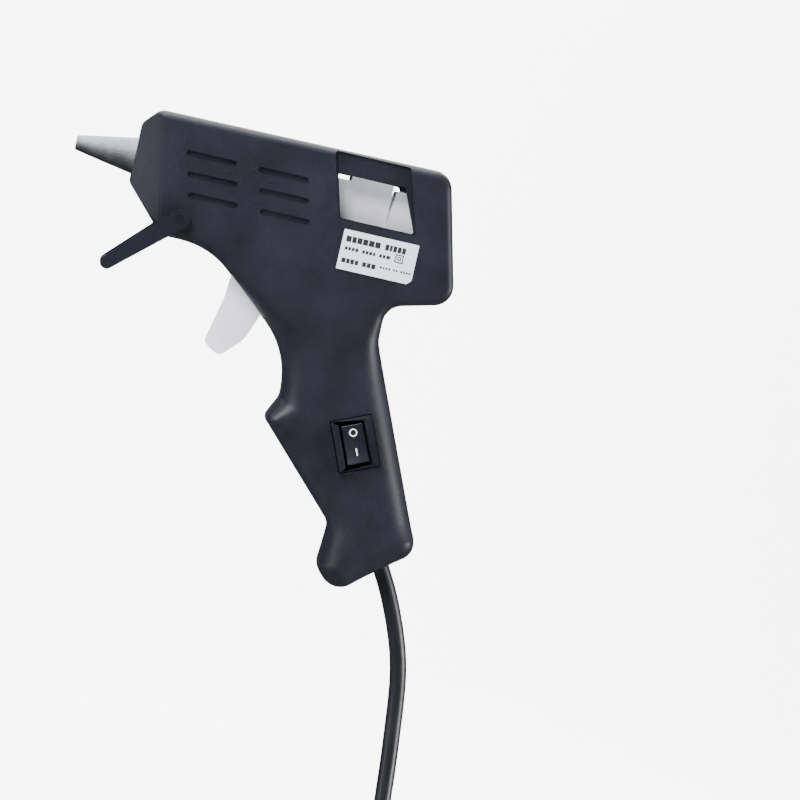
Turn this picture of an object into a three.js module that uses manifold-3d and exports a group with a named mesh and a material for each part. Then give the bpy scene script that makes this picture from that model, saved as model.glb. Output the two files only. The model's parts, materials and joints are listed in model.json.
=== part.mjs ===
// Small hand-held hot-glue gun for 7 mm sticks: a clamshell casing in two halves with a swept grip,
// an aluminium nozzle on a heated melt tube, a trigger that drives a sliding feed carriage with a
// gripping plate, a rocker switch, a fold-out stand and a mains lead with a two-pin plug.
//
// Millimetres, +Z up. The barrel lies along X with the nozzle towards -X. Shapes are drawn around the
// nozzle axis, with x = 0 at the nose of the casing, and the whole gun is then moved so that the
// middle of the grip is the origin.
import * as THREE from 'three';
import { mergeVertices } from 'three/addons/utils/BufferGeometryUtils.js';
import Module from 'manifold-3d';

const wasm = await Module();
wasm.setup();

// ---------- driving dimensions ----------
const CLEAR = 0.3; // gap between pieces that touch or move past each other
const GRIP_CENTRE = [78, -62]; // x, z of the middle of the grip, which becomes the origin
const GRIP_SWEEP = THREE.MathUtils.degToRad(23); // the grip's lean from the vertical
const EXIT_LEAN = THREE.MathUtils.degToRad(31); // the lead leaves leaning this far from the vertical

const HALF_WIDTH = 13.5; // half the width of the casing
const WALL = 2;
const EDGE = 2.6; // rounding of the casing's long edges
const CAVITY_EDGE = 1.4; // the same inside
const PARTING = 0.2; // gap between the two halves

const STICK_BORE = 4.2; // radius of the glue stick's way through the gun
const NOZZLE = { tip: -19.2, tipRadius: 2.3, base: 2.5, baseRadius: 5.7, orifice: 0.9 };
const MELT_TUBE = { start: 3, length: 33, radius: 6.2 };
const SLEEVE_RADIUS = 6;
const NOSE_BUSH = { start: 1.6, length: 1, radius: 8 };
const HEATER = { front: 12, back: 28, halfWidth: 4, height: 1.8, seat: 0.5 };
const NOSE_BEVEL = { start: 7.7, depth: 5.3, lean: THREE.MathUtils.degToRad(10.3) };

const TRIGGER = { pivot: [52, -26], halfWidth: 4.4, bore: 1.9, hub: 4.4 };
const DRIVE_PIN = { x: 55, z: -8, radius: 1.6 };
const CARRIAGE = {
  front: 58, back: 88, top: 7.4, bottom: -STICK_BORE - 0.8, halfWidth: STICK_BORE + 2.6, cheek: 1.8,
  cheekFront: 49.5, cheekBottom: -11, cheekTop: 9, travel: 6,
};
const CLAMP = {
  x: 53.4, thickness: 1.8, hinge: 7.2, halfWidth: STICK_BORE + 0.2, bottom: -STICK_BORE - 1, hole: STICK_BORE - 0.4,
};

const STAND = { pivot: [16.2, -15.6], tip: [-2.4, -33.2], arm: 2.4, hub: 3.1, foot: 1.9, stub: 1.5, grip: 4.5 };
const SWITCH = { centre: [83, -70], length: 14, width: 7, wing: 1.8, proud: 1.8, depth: 9 };
const LABEL = { corner: [65.3, -19.4], size: [23.2, 12.2], thickness: 0.25 };

const CORD_DIAMETER = 5.3;
const CORD_EXIT = [100.9, -106.9];
const PIN = { radius: 2, length: 19, pitch: 19 }; // round mains pins
const PLUG = { bootLength: 14, length: 34, width: 26, depth: 13.6, neck: 11, drop: 44 };
const WIRE_RADIUS = 0.75;
const COIL = { // three turns side by side in two layers, hanging below the grip
  turnRadius: 29, centre: [86, -224], halfDepth: 1.5 * CORD_DIAMETER + 0.25, bundle: CORD_DIAMETER + 0.3,
};

// ---------- solids ----------
/** The volume that a closed geometry encloses, negative where its faces point in. */
function signedVolume(geometry) {
  const { array: index } = geometry.index;
  const at = (i) => new THREE.Vector3().fromBufferAttribute(geometry.attributes.position, index[i]);
  let six = 0;
  for (let i = 0; i < index.length; i += 3) six += at(i).dot(at(i + 1).cross(at(i + 2)));
  return six / 6;
}

/** A closed geometry as a solid, with its shared corners merged and its faces pointing out. */
function toSolid(geometry) {
  const bare = geometry.clone();
  bare.deleteAttribute('normal');
  bare.deleteAttribute('uv');
  const merged = mergeVertices(bare, 1e-4);
  const { array } = merged.index;
  const kept = [];
  for (let i = 0; i < array.length; i += 3) {
    const [a, b, c] = [array[i], array[i + 1], array[i + 2]];
    if (a !== b && b !== c && c !== a) kept.push(a, b, c);
  }
  merged.setIndex(kept);
  if (signedVolume(merged) < 0) {
    for (let i = 0; i < kept.length; i += 3) [kept[i], kept[i + 1]] = [kept[i + 1], kept[i]];
  }
  return new wasm.Manifold(new wasm.Mesh({
    numProp: 3,
    vertProperties: new Float32Array(merged.attributes.position.array),
    triVerts: new Uint32Array(kept),
  }));
}

function toGeometry(solid) {
  const mesh = solid.getMesh();
  const geometry = new THREE.BufferGeometry();
  geometry.setAttribute('position', new THREE.BufferAttribute(new Float32Array(mesh.vertProperties), 3));
  geometry.setIndex(new THREE.BufferAttribute(new Uint32Array(mesh.triVerts), 1));
  geometry.computeVertexNormals();
  return geometry;
}

/** A rectangular block from its lowest to its highest corner. */
function block(low, high) {
  const size = high.map((value, axis) => value - low[axis]);
  const box = new THREE.BoxGeometry(...size);
  box.translate(...low.map((value, axis) => value + size[axis] / 2));
  return toSolid(box);
}

/** A rod along Y at x, z, from y = from to y = to. */
function rodY([x, z], radius, from, to, sides = 24) {
  const rod = new THREE.CylinderGeometry(radius, radius, to - from, sides);
  rod.translate(x, (from + to) / 2, z);
  return toSolid(rod);
}

/** A rod along Z about the origin, of the given half length. */
function rodZ(radius, halfLength, sides = 20) {
  return coneZ(radius, radius, 2 * halfLength, sides);
}

/** A round cone along Z about the origin. */
function coneZ(lowRadius, highRadius, length, sides = 20) {
  const cone = new THREE.CylinderGeometry(highRadius, lowRadius, length, sides);
  cone.rotateX(Math.PI / 2);
  return toSolid(cone);
}

/** A body turned about the barrel's axis: [x, radius] pairs along its outside, then back along its bore. */
function turnedX(outline, sides = 32) {
  const isSolid = outline[0][1] === 0;
  const profile = isSolid ? outline : [...outline, outline[0]];
  const body = new THREE.LatheGeometry(profile.map(([x, radius]) => new THREE.Vector2(radius, x)), sides);
  body.rotateZ(-Math.PI / 2);
  return toSolid(body);
}

/** A closed outline with each corner [x, z, radius] rounded to its radius, a point every arcStep radians. */
function roundedShape(corners, arcStep) {
  const points = corners.flatMap(([x, z, radius = 0], i) => {
    const corner = new THREE.Vector2(x, z);
    if (radius === 0) return [corner];
    const before = new THREE.Vector2(...corners.at(i - 1).slice(0, 2)).sub(corner).normalize();
    const after = new THREE.Vector2(...corners[(i + 1) % corners.length].slice(0, 2)).sub(corner).normalize();
    const half = Math.acos(THREE.MathUtils.clamp(before.dot(after), -1, 1)) / 2;
    const centre = corner.clone().addScaledVector(before.clone().add(after).normalize(), radius / Math.sin(half));
    const start = corner.clone().addScaledVector(before, radius / Math.tan(half)).sub(centre);
    const turn = (Math.PI - 2 * half) * Math.sign(after.cross(before));
    const steps = Math.max(2, Math.ceil(Math.abs(turn) / arcStep));
    return Array.from({ length: steps + 1 }, (_, k) => (
      start.clone().rotateAround(new THREE.Vector2(), (turn * k) / steps).add(centre)));
  });
  return new THREE.Shape(points);
}

/** The outline drawn in the X-Z plane, given thickness from y = from to y = to. */
function plate(corners, from, to, arcStep = 0.4) {
  const body = new THREE.ExtrudeGeometry(roundedShape(corners, arcStep), { depth: to - from, bevelEnabled: false });
  body.rotateX(Math.PI / 2);
  body.translate(0, to, 0);
  return toSolid(body);
}

/** The same, with its edges rounded and its sides moved in by inset. */
function pillow(corners, halfWidth, edge, inset, arcStep = 0.3) {
  const body = new THREE.ExtrudeGeometry(roundedShape(corners, arcStep), {
    depth: 2 * (halfWidth - edge),
    bevelThickness: edge,
    bevelSize: edge,
    bevelOffset: -edge - inset,
    bevelSegments: 2,
  });
  body.rotateX(Math.PI / 2);
  body.translate(0, halfWidth - edge, 0);
  return toSolid(body);
}

/** A tube of the given radius along a smooth curve through the points. */
function tubeAlong(points, radius, steps, sides = 8) {
  const section = new THREE.Shape();
  section.absarc(0, 0, radius, 0, 2 * Math.PI);
  const curve = new THREE.CatmullRomCurve3(points.map((p) => new THREE.Vector3(...p)), false, 'centripetal');
  return toSolid(new THREE.ExtrudeGeometry(section, { steps, extrudePath: curve, curveSegments: sides }));
}

const MIRROR = new THREE.Matrix4().makeScale(1, -1, 1);

/** The same solid on the other side of the parting plane. */
function mirrored(solid) {
  return toSolid(toGeometry(solid).applyMatrix4(MIRROR));
}

/** Turns a solid about the Y axis through x, z, so that its local -Z leans towards +X. */
function leaned(solid, angle, [x, z]) {
  const geometry = toGeometry(solid);
  geometry.rotateY(-angle);
  geometry.translate(x, 0, z);
  return toSolid(geometry);
}

/** The solid moved by x, y, z. */
function placed(solid, x, y, z) {
  return toSolid(toGeometry(solid).translate(x, y, z));
}

const joined = (...solids) => solids.reduce((whole, next) => whole.add(next));
const cut = (solid, ...tools) => tools.reduce((rest, tool) => rest.subtract(tool), solid);

// ---------- finishes ----------
const finish = (color, roughness, metalness = 0) => new THREE.MeshStandardMaterial({ color, roughness, metalness });
const BLACK_PLASTIC = finish(0x1b1c22, 0.5);
const BLACK_GLOSS = finish(0x121318, 0.35);
const WHITE_PLASTIC = finish(0xe6e7ee, 0.45);
const ALUMINIUM = finish(0xa9acb3, 0.42, 0.9);
const STEEL = finish(0x8f9196, 0.35, 1);
const BRASS = finish(0xb08d4c, 0.35, 1);
const SILICONE = finish(0xb5452f, 0.7);
const CERAMIC = finish(0xd8d3c6, 0.7);
const PAPER = finish(0xe3e7f2, 0.6);
const RUBBER = finish(0x17181c, 0.6);
const WIRE_BLUE = finish(0x2c4f9e, 0.5);
const WIRE_BROWN = finish(0x5f3a22, 0.5);

const gun = new THREE.Group();
gun.position.set(-GRIP_CENTRE[0], 0, -GRIP_CENTRE[1]);

function addPiece(name, solid, material) {
  const mesh = new THREE.Mesh(toGeometry(solid), material);
  mesh.name = name;
  gun.add(mesh);
}

// ---------- casing ----------
const WIRE_SIDE = HALF_WIDTH - WALL - 2.1; // how far the wires run from the parting plane
const FRONT_X = -0.9;
const OUTLINE = [
  [FRONT_X, 10.4, 3],
  [FRONT_X, -8, 3],
  [11.9, -21.6, 5],
  [27.4, -21.6, 27],
  [57.8, -47.8, 26],
  [58.3, -61.6, 4],
  [55.2, -69, 3],
  [81.6, -96.3, 4],
  [80.3, -121.8, 6.5],
  [109.2, -98.6, 6],
  [83.4, -38.4, 10],
  [83, -27.4, 6],
  [103.1, -22.4, 6],
  [93.4, 16.2, 6],
  [3.6, 15.3, 4],
];

const WINDOW = { // corners of the shallow recess around it, and of the opening in its floor
  recess: [[62.9, -4.7, 0.8], [86.9, -4.7, 0.8], [80.8, 15.2, 0.8], [57.3, 15.2, 0.8]],
  opening: [[63.4, -4.3, 0.6], [86.2, -4.3, 0.6], [80.6, 8.9, 0.8], [59.7, 8.9, 0.8]],
  recessDepth: 1.6,
};
const SCREWS = [[38, 11.2], [26, -14.4], [93.4, -15.4], [65, -42], [87, -108]];
const SCREW = { boss: 3.1, shank: 1.3, head: 2.5, headHeight: 1.6, recess: 5, reach: 4.5 };
const VENT = { length: 15.4, height: 1.7, depth: 0.8, rows: 3, drop: 6.1, shift: 1.6, first: [13.8, 4.4], pitch: 22.2 };

/** The blind ventilation grooves of one side, cut from the outside face. */
function ventGrooves() {
  const [x0, z0] = VENT.first;
  const grooves = [];
  for (const column of [0, 1]) {
    for (let row = 0; row < VENT.rows; row += 1) {
      const x = x0 + column * VENT.pitch + row * VENT.shift;
      const z = z0 - row * VENT.drop;
      const end = VENT.height / 2 - 0.05;
      grooves.push(plate([
        [x, z - VENT.height / 2, end],
        [x + VENT.length, z - VENT.height / 2, end],
        [x + VENT.length, z + VENT.height / 2, end],
        [x, z + VENT.height / 2, end],
      ], -HALF_WIDTH - 1, -HALF_WIDTH + VENT.depth, 0.8));
    }
  }
  return grooves;
}

/** The wedge that narrows one side of the nose. */
function noseBevel() {
  const wedge = new THREE.Shape();
  wedge.moveTo(-30, -HALF_WIDTH - 5);
  wedge.lineTo(NOSE_BEVEL.start + 3.8, -HALF_WIDTH - 1.4);
  wedge.lineTo(NOSE_BEVEL.start, -HALF_WIDTH);
  wedge.quadraticCurveTo(NOSE_BEVEL.start - 4.5, -HALF_WIDTH + 0.6, FRONT_X - 1, -HALF_WIDTH + NOSE_BEVEL.depth);
  wedge.lineTo(-30, -HALF_WIDTH + NOSE_BEVEL.depth);
  wedge.closePath();
  const body = new THREE.ExtrudeGeometry(wedge, { depth: 90, bevelEnabled: false, curveSegments: 5 });
  body.translate(0, 0, -45);
  body.rotateY(-NOSE_BEVEL.lean);
  return toSolid(body);
}

function wholeCasing() {
  const outside = pillow(OUTLINE, HALF_WIDTH, EDGE, 0);
  const softer = OUTLINE.map(([x, z, radius]) => [x, z, Math.max(radius, WALL + CAVITY_EDGE + 1)]);
  const inside = pillow(softer, HALF_WIDTH - WALL, CAVITY_EDGE, WALL);
  const bosses = SCREWS.map((place) => rodY(place, SCREW.boss, -HALF_WIDTH + 1, HALF_WIDTH - 1, 16));
  const pivotBoss = rodY(TRIGGER.pivot, 3.4, -HALF_WIDTH + 1, HALF_WIDTH - 1, 16);
  const ribAt = (x) => block([x, -HALF_WIDTH + 1, -15], [x + 2, HALF_WIDTH - 1, 13.6]);
  const ribs = [6.5, 31].map(ribAt);
  const nose = block([FRONT_X - 1, -HALF_WIDTH + 1, -30], [NOSE_BEVEL.start, HALF_WIDTH - 1, 30]);
  const inner = [nose, ...bosses, pivotBoss, ...ribs].map((piece) => piece.intersect(outside));
  const shell = joined(cut(outside, inside), ...inner);
  const tubeSpace = turnedX([
    [-5, 0], [-5, NOSE_BUSH.radius - 1.6], [1.2, NOSE_BUSH.radius - 1.6], [1.2, NOSE_BUSH.radius + CLEAR],
    [5.4, NOSE_BUSH.radius + CLEAR], [5.4, MELT_TUBE.radius + CLEAR], [48, MELT_TUBE.radius + CLEAR], [48, 0],
  ]);
  const inlet = turnedX([[84, 0], [84, STICK_BORE + 0.3], [110, STICK_BORE + 0.3], [110, 0]], 24);
  const mechanism = block(
    [TRIGGER.pivot[0] - 17, -TRIGGER.halfWidth - CLEAR, -41], [TRIGGER.pivot[0] + 6, TRIGGER.halfWidth + CLEAR, 8]);
  const slot = plate([[34.6, -18], [34.6, -29.5], [45, -46], [54, -46], [56, -18]],
    -TRIGGER.halfWidth - CLEAR, TRIGGER.halfWidth + CLEAR);
  const slideWay = block(
    [CARRIAGE.cheekFront - CARRIAGE.travel - 0.5, -CARRIAGE.halfWidth - CLEAR, CARRIAGE.cheekBottom - 1.5],
    [CARRIAGE.back + CLEAR, CARRIAGE.halfWidth + CLEAR, CARRIAGE.cheekTop + 0.6]);
  const bevel = noseBevel();
  const vents = ventGrooves();
  const deep = plate(WINDOW.opening, -40, 40);
  const shallow = plate(WINDOW.recess, -40, -HALF_WIDTH + WINDOW.recessDepth);
  const wireNotches = [-1, 1].map((side) => block(
    [30, side * WIRE_SIDE - 1.25, -13], [34, side * WIRE_SIDE + 1.25, -6.5]));
  const cordHole = leaned(rodZ(CORD_DIAMETER / 2 + CLEAR, 14), EXIT_LEAN, CORD_EXIT);
  return cut(shell, tubeSpace, inlet, mechanism, slot, slideWay, bevel, mirrored(bevel), deep,
    shallow, mirrored(shallow), ...vents, ...vents.map(mirrored), ...wireNotches, cordHole);
}

const switchSpace = leaned(
  block([-SWITCH.width / 2 - SWITCH.wing - 1.2, -HALF_WIDTH - 5, -SWITCH.length / 2 - 1.2],
    [SWITCH.width / 2 + SWITCH.wing + 1.2, -HALF_WIDTH + SWITCH.depth, SWITCH.length / 2 + 1.2]),
  GRIP_SWEEP, SWITCH.centre);

const casing = wholeCasing();
const pivotHole = rodY(TRIGGER.pivot, TRIGGER.bore - 0.2, -HALF_WIDTH + 3.5, HALF_WIDTH - 3.5, 16);
const leftSpace = block([-40, -40, -140], [140, -PARTING / 2, 40]);
const rightSpace = block([-40, PARTING / 2, -140], [140, 40, 40]);
const standHoles = rodY(STAND.pivot, STAND.stub + CLEAR, -40, 40, 16);
const pilots = SCREWS.map((place) => rodY(place, SCREW.shank + CLEAR, -HALF_WIDTH + SCREW.reach - 1, 0.2, 12));
const shanks = SCREWS.map((place) => rodY(place, SCREW.shank + CLEAR, -0.2, HALF_WIDTH, 12));
const recesses = SCREWS.map((place) => rodY(place, SCREW.head + CLEAR, HALF_WIDTH - SCREW.recess, HALF_WIDTH + 1, 16));

addPiece('casing_left',
  cut(casing.intersect(leftSpace), pivotHole, standHoles, switchSpace, ...pilots), BLACK_PLASTIC);
addPiece('casing_right',
  cut(casing.intersect(rightSpace), pivotHole, standHoles, ...shanks, ...recesses), BLACK_PLASTIC);

SCREWS.forEach((place, i) => {
  const under = HALF_WIDTH - SCREW.recess + 0.15;
  const head = rodY(place, SCREW.head, under, under + SCREW.headHeight, 16);
  const drive = joined(...[0, 1].map((turn) => {
    const [long, short] = [1.5, 0.35];
    const reach = turn ? [short, long] : [long, short];
    return block([place[0] - reach[0], under + 0.7, place[1] - reach[1]],
      [place[0] + reach[0], under + 3, place[1] + reach[1]]);
  }));
  const shank = rodY(place, SCREW.shank, -HALF_WIDTH + SCREW.reach, under + 0.2, 12);
  addPiece(`case_screw_${i + 1}`, cut(joined(head, shank), drive), STEEL);
});

// ---------- nozzle and heater ----------
const tubeEnd = MELT_TUBE.start + MELT_TUBE.length;
addPiece('nozzle', turnedX([
  [NOZZLE.tip, NOZZLE.orifice], [NOZZLE.tip, NOZZLE.tipRadius - 0.4], [NOZZLE.tip + 0.5, NOZZLE.tipRadius],
  [-1.2, NOZZLE.baseRadius - 0.2], [0, NOZZLE.baseRadius], [NOZZLE.base, NOZZLE.baseRadius],
  [NOZZLE.base, 3], [-2, 3], [NOZZLE.tip + 4, NOZZLE.orifice],
]), ALUMINIUM);
addPiece('melt_tube', turnedX([
  [MELT_TUBE.start, 3], [MELT_TUBE.start, MELT_TUBE.radius - 0.6], [MELT_TUBE.start + 0.6, MELT_TUBE.radius],
  [tubeEnd, MELT_TUBE.radius], [tubeEnd, STICK_BORE], [MELT_TUBE.start + 12, STICK_BORE], [MELT_TUBE.start + 6, 3],
]), ALUMINIUM);
addPiece('nose_bush', turnedX([
  [NOSE_BUSH.start, NOZZLE.baseRadius + CLEAR], [NOSE_BUSH.start, NOSE_BUSH.radius],
  [NOSE_BUSH.start + NOSE_BUSH.length, NOSE_BUSH.radius],
  [NOSE_BUSH.start + NOSE_BUSH.length, NOZZLE.baseRadius + CLEAR],
]), CERAMIC);
const sleeveEnd = CARRIAGE.cheekFront - CARRIAGE.travel - 2 * CLEAR;
addPiece('inlet_sleeve', turnedX([
  [tubeEnd + CLEAR, STICK_BORE - 0.3], [tubeEnd + CLEAR, SLEEVE_RADIUS],
  [sleeveEnd, SLEEVE_RADIUS], [sleeveEnd, STICK_BORE - 0.3],
]), SILICONE);
const heaterTop = MELT_TUBE.radius + CLEAR + HEATER.seat;
addPiece('heater_seat', cut(
  block([HEATER.front - 1, -HEATER.halfWidth - 0.5, MELT_TUBE.radius - 2],
    [HEATER.back + 1, HEATER.halfWidth + 0.5, heaterTop]),
  turnedX([[0, 0], [0, MELT_TUBE.radius + CLEAR], [50, MELT_TUBE.radius + CLEAR], [50, 0]], 48)), ALUMINIUM);
addPiece('ptc_heater', block([HEATER.front, -HEATER.halfWidth, heaterTop + CLEAR],
  [HEATER.back, HEATER.halfWidth, heaterTop + CLEAR + HEATER.height]), CERAMIC);
const clipTop = heaterTop + 2 * CLEAR + HEATER.height;
const clip = { front: 15, back: 24, half: MELT_TUBE.radius + 1.2, gauge: 0.8, gap: 3 };
addPiece('heater_clip', cut(
  block([clip.front, -clip.half - clip.gauge, -clip.half - clip.gauge],
    [clip.back, clip.half + clip.gauge, clipTop + clip.gauge]),
  block([clip.front - 1, -clip.half, -clip.half], [clip.back + 1, clip.half, clipTop]),
  block([clip.front - 1, -clip.gap, -clip.half - 2], [clip.back + 1, clip.gap, 0])), STEEL);

// ---------- feed ----------
function feedCarriage() {
  const { front, back, top, bottom, halfWidth, cheek, cheekFront, cheekBottom, cheekTop } = CARRIAGE;
  const body = joined(
    block([front, -halfWidth, bottom], [64.6, halfWidth, top]),
    block([64.6, -halfWidth + 0.6, bottom], [77.6, halfWidth - 0.6, top + 1.4]),
    plate([[77.4, bottom], [back, bottom], [back, top], [78.9, top, 0.5]], -halfWidth, halfWidth));
  const cheeks = [-1, 1].map((side) => {
    const inner = side * (halfWidth - cheek);
    const outer = side * halfWidth;
    return plate([
      [cheekFront, cheekBottom, 2], [front + 1, cheekBottom, 2],
      [front + 1, cheekTop, 1], [cheekFront + 1, cheekTop, 2],
    ], Math.min(inner, outer), Math.max(inner, outer));
  });
  const pin = rodY([DRIVE_PIN.x, DRIVE_PIN.z], DRIVE_PIN.radius, -halfWidth + 0.5, halfWidth - 0.5, 16);
  const bore = turnedX([[40, 0], [40, STICK_BORE], [95, STICK_BORE], [95, 0]]);
  return cut(joined(body, ...cheeks, pin), bore,
    rodY([CLAMP.x + CLAMP.thickness / 2, CLAMP.hinge], 1.2, -10, 10, 12));
}
addPiece('feed_carriage', feedCarriage(), WHITE_PLASTIC);

const clampMiddle = CLAMP.x + CLAMP.thickness / 2;
addPiece('clamp_plate', cut(
  joined(
    block([CLAMP.x, -CLAMP.halfWidth, CLAMP.bottom], [CLAMP.x + CLAMP.thickness, CLAMP.halfWidth, CLAMP.hinge]),
    rodY([clampMiddle, CLAMP.hinge], 1.9, -CLAMP.halfWidth, CLAMP.halfWidth, 16)),
  rodY([clampMiddle, CLAMP.hinge], 1.15, -8, 8, 12),
  turnedX([[50, 0], [50, CLAMP.hole], [60, CLAMP.hole], [60, 0]], 24)), STEEL);
addPiece('clamp_pin', rodY([clampMiddle, CLAMP.hinge], 0.85, -CARRIAGE.halfWidth + 0.2, CARRIAGE.halfWidth - 0.2, 12),
  STEEL);

function trigger() {
  const [px, pz] = TRIGGER.pivot;
  const lean = Math.atan2(DRIVE_PIN.x - px, DRIVE_PIN.z - pz);
  const blade = plate([
    [35.9, -27, 2], [35.3, -36, 12], [32, -50.5, 2.2], [37.2, -53.6, 2.4], [43.6, -47, 9],
    [47.4, -37, 6], [px + 3, pz - 3.4, 1], [px, pz + 2, 1], [42, -23, 3],
  ], -TRIGGER.halfWidth, TRIGGER.halfWidth, 0.3);
  const reach = Math.hypot(DRIVE_PIN.x - px, DRIVE_PIN.z - pz);
  const armHalf = TRIGGER.halfWidth - 0.4;
  const arm = leaned(block([-3.9, -armHalf, 0], [3.9, armHalf, reach + 1.5]), -lean, TRIGGER.pivot);
  const forkSlot = leaned(block([-DRIVE_PIN.radius - CLEAR, -6, reach - DRIVE_PIN.radius - 0.8],
    [DRIVE_PIN.radius + CLEAR, 6, reach + 8]), -lean, TRIGGER.pivot);
  const hub = rodY(TRIGGER.pivot, TRIGGER.hub, -TRIGGER.halfWidth, TRIGGER.halfWidth, 24);
  const springSeat = rodY(TRIGGER.pivot, 5, 1.2, 5, 20);
  return cut(joined(blade, arm, hub), forkSlot, springSeat,
    rodY(TRIGGER.pivot, TRIGGER.bore, -10, 10, 20));
}
addPiece('trigger', trigger(), WHITE_PLASTIC);
addPiece('trigger_pin', rodY(TRIGGER.pivot, TRIGGER.bore - 0.5, -HALF_WIDTH + 4, HALF_WIDTH - 4, 16), STEEL);

/** A torsion spring around the trigger's pin, with one leg on the blade. */
function triggerSpring() {
  const turns = 2.5;
  const wire = 0.45;
  const points = [];
  const steps = 30;
  for (let i = 0; i <= steps; i += 1) {
    const angle = (i / steps) * turns * 2 * Math.PI;
    points.push([
      TRIGGER.pivot[0] + 3 * Math.cos(angle), 1.9 + (i / steps) * 2, TRIGGER.pivot[1] + 3 * Math.sin(angle)]);
  }
  return tubeAlong(points, wire, 60, 3);
}
addPiece('trigger_spring', triggerSpring(), STEEL);

// ---------- switch ----------
const switchPart = (low, high) => leaned(block(low, high), GRIP_SWEEP, SWITCH.centre);
const halfLong = SWITCH.length / 2;
const halfWide = SWITCH.width / 2;
const wingEdge = halfWide + SWITCH.wing + 0.9;
addPiece('switch_body', cut(
  joined(
    switchPart([-wingEdge, -HALF_WIDTH - 0.2, -halfLong - 0.9],
      [wingEdge, -HALF_WIDTH + SWITCH.depth - CLEAR, halfLong + 0.9]),
    switchPart([-wingEdge, -HALF_WIDTH - SWITCH.proud, -halfLong - 0.9],
      [-wingEdge + SWITCH.wing, -HALF_WIDTH, halfLong + 0.9]),
    switchPart([wingEdge - SWITCH.wing, -HALF_WIDTH - SWITCH.proud, -halfLong - 0.9],
      [wingEdge, -HALF_WIDTH, halfLong + 0.9])),
  switchPart([-halfWide - CLEAR, -HALF_WIDTH - 4, -halfLong + 0.2],
    [halfWide + CLEAR, -HALF_WIDTH + 5, halfLong - 0.2])), BLACK_GLOSS);

/** The rocker lies across its pivot with the O end pressed in. */
function rocker() {
  const y = -HALF_WIDTH;
  const end = halfLong - 1;
  const profile = new THREE.Shape();
  profile.moveTo(-y - 3.2, end - 1.2);
  profile.lineTo(-y + 0.3, end);
  profile.quadraticCurveTo(-y + 0.1, 0, -y + 2, -end);
  profile.lineTo(-y - 2.2, -end + 1.4);
  profile.closePath();
  const body = new THREE.ExtrudeGeometry(profile, { depth: SWITCH.width - 0.2, bevelEnabled: false, curveSegments: 8 });
  // the profile is drawn as (outward, along), and its thickness becomes the width of the rocker
  const turn = new THREE.Matrix4().makeBasis(
    new THREE.Vector3(0, -1, 0), new THREE.Vector3(0, 0, 1), new THREE.Vector3(-1, 0, 0));
  body.applyMatrix4(turn);
  body.translate(halfWide - 0.1, 0, 0);
  return leaned(toSolid(body), GRIP_SWEEP, SWITCH.centre);
}
addPiece('switch_rocker', rocker(), BLACK_GLOSS);

// ---------- stand ----------
const [armDx, armDz] = [STAND.tip[0] - STAND.pivot[0], STAND.tip[1] - STAND.pivot[1]];
const armLength = Math.hypot(armDx, armDz);
const armLean = Math.atan2(armDx, -armDz);
const armInner = HALF_WIDTH + 0.4;

function standArm(side) {
  const [from, to] = side < 0 ? [-armInner - STAND.arm, -armInner] : [armInner, armInner + STAND.arm];
  const bar = leaned(plate([
    [-2.9, 0, 0], [2.9, 0, 0], [1.9, -armLength - 1.6, 1.7], [-1.9, -armLength - 1.6, 1.7],
  ], from, to), armLean, STAND.pivot);
  const hub = rodY(STAND.pivot, STAND.hub, from, to, 24);
  const stub = side < 0 ? rodY(STAND.pivot, STAND.stub, -armInner - 1, -HALF_WIDTH + STAND.grip, 16)
    : rodY(STAND.pivot, STAND.stub, HALF_WIDTH - STAND.grip, armInner + 1, 16);
  const socket = rodY(STAND.tip, 1.1, -armInner - 1.2, armInner + 1.2, 12);
  return cut(joined(bar, hub, stub), socket);
}
addPiece('stand_arm_left', standArm(-1), BLACK_GLOSS);
addPiece('stand_arm_right', standArm(1), BLACK_GLOSS);
addPiece('stand_foot_bar', joined(
  rodY(STAND.tip, STAND.foot, -armInner + CLEAR, armInner - CLEAR, 16),
  rodY(STAND.tip, 0.8, -armInner - 1, armInner + 1, 12)), BLACK_GLOSS);

// ---------- label ----------
const labelGap = 0.1;
addPiece('rating_label', block(
  [LABEL.corner[0], -HALF_WIDTH - labelGap - LABEL.thickness, LABEL.corner[1]],
  [LABEL.corner[0] + LABEL.size[0], -HALF_WIDTH - labelGap, LABEL.corner[1] + LABEL.size[1]]), PAPER);

// ---------- wiring inside the casing ----------
const cordRadius = CORD_DIAMETER / 2;
const alongExit = (distance) => [
  CORD_EXIT[0] + distance * Math.sin(EXIT_LEAN), 0, CORD_EXIT[1] - distance * Math.cos(EXIT_LEAN)];
const cordStart = alongExit(-11);
const clampAt = alongExit(-7.5);
addPiece('cord_clamp', cut(
  leaned(block([-4.6, -7.5, -1.8], [4.6, 7.5, 1.8]), EXIT_LEAN, [clampAt[0], clampAt[2]]),
  leaned(rodZ(cordRadius + CLEAR, 6), EXIT_LEAN, [clampAt[0], clampAt[2]])), BLACK_PLASTIC);

const rise = [[74.5, -44], [66, -24], [58, -15.5], [45, -13.6], [38, -12], [32, -11], [29.6, -6], [29.4, 3]];
const heaterEnd = (side) => [[29.3, side * 7, 8.2], [29.3, side * 3.5, 9.2]];
const tail = (side) => rise.map(([x, z]) => [x, side * WIRE_SIDE, z]).concat(heaterEnd(side));
addPiece('neutral_wire', tubeAlong(
  [[95, 3.2, -96.2], [92.5, 7, -91], [86.5, WIRE_SIDE, -79], [79, WIRE_SIDE, -62], ...tail(1)], WIRE_RADIUS, 32, 2),
WIRE_BLUE);
const switchBack = -HALF_WIDTH + SWITCH.depth + 0.1;
addPiece('live_wire_to_switch', tubeAlong(
  [[94.6, -2, -96.6], [92.6, -2.2, -91.5], [90, -2.2, -84], [88, -2.6, -78.4], [87, switchBack + 0.8, -75.6]],
  WIRE_RADIUS, 10, 2), WIRE_BROWN);
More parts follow.
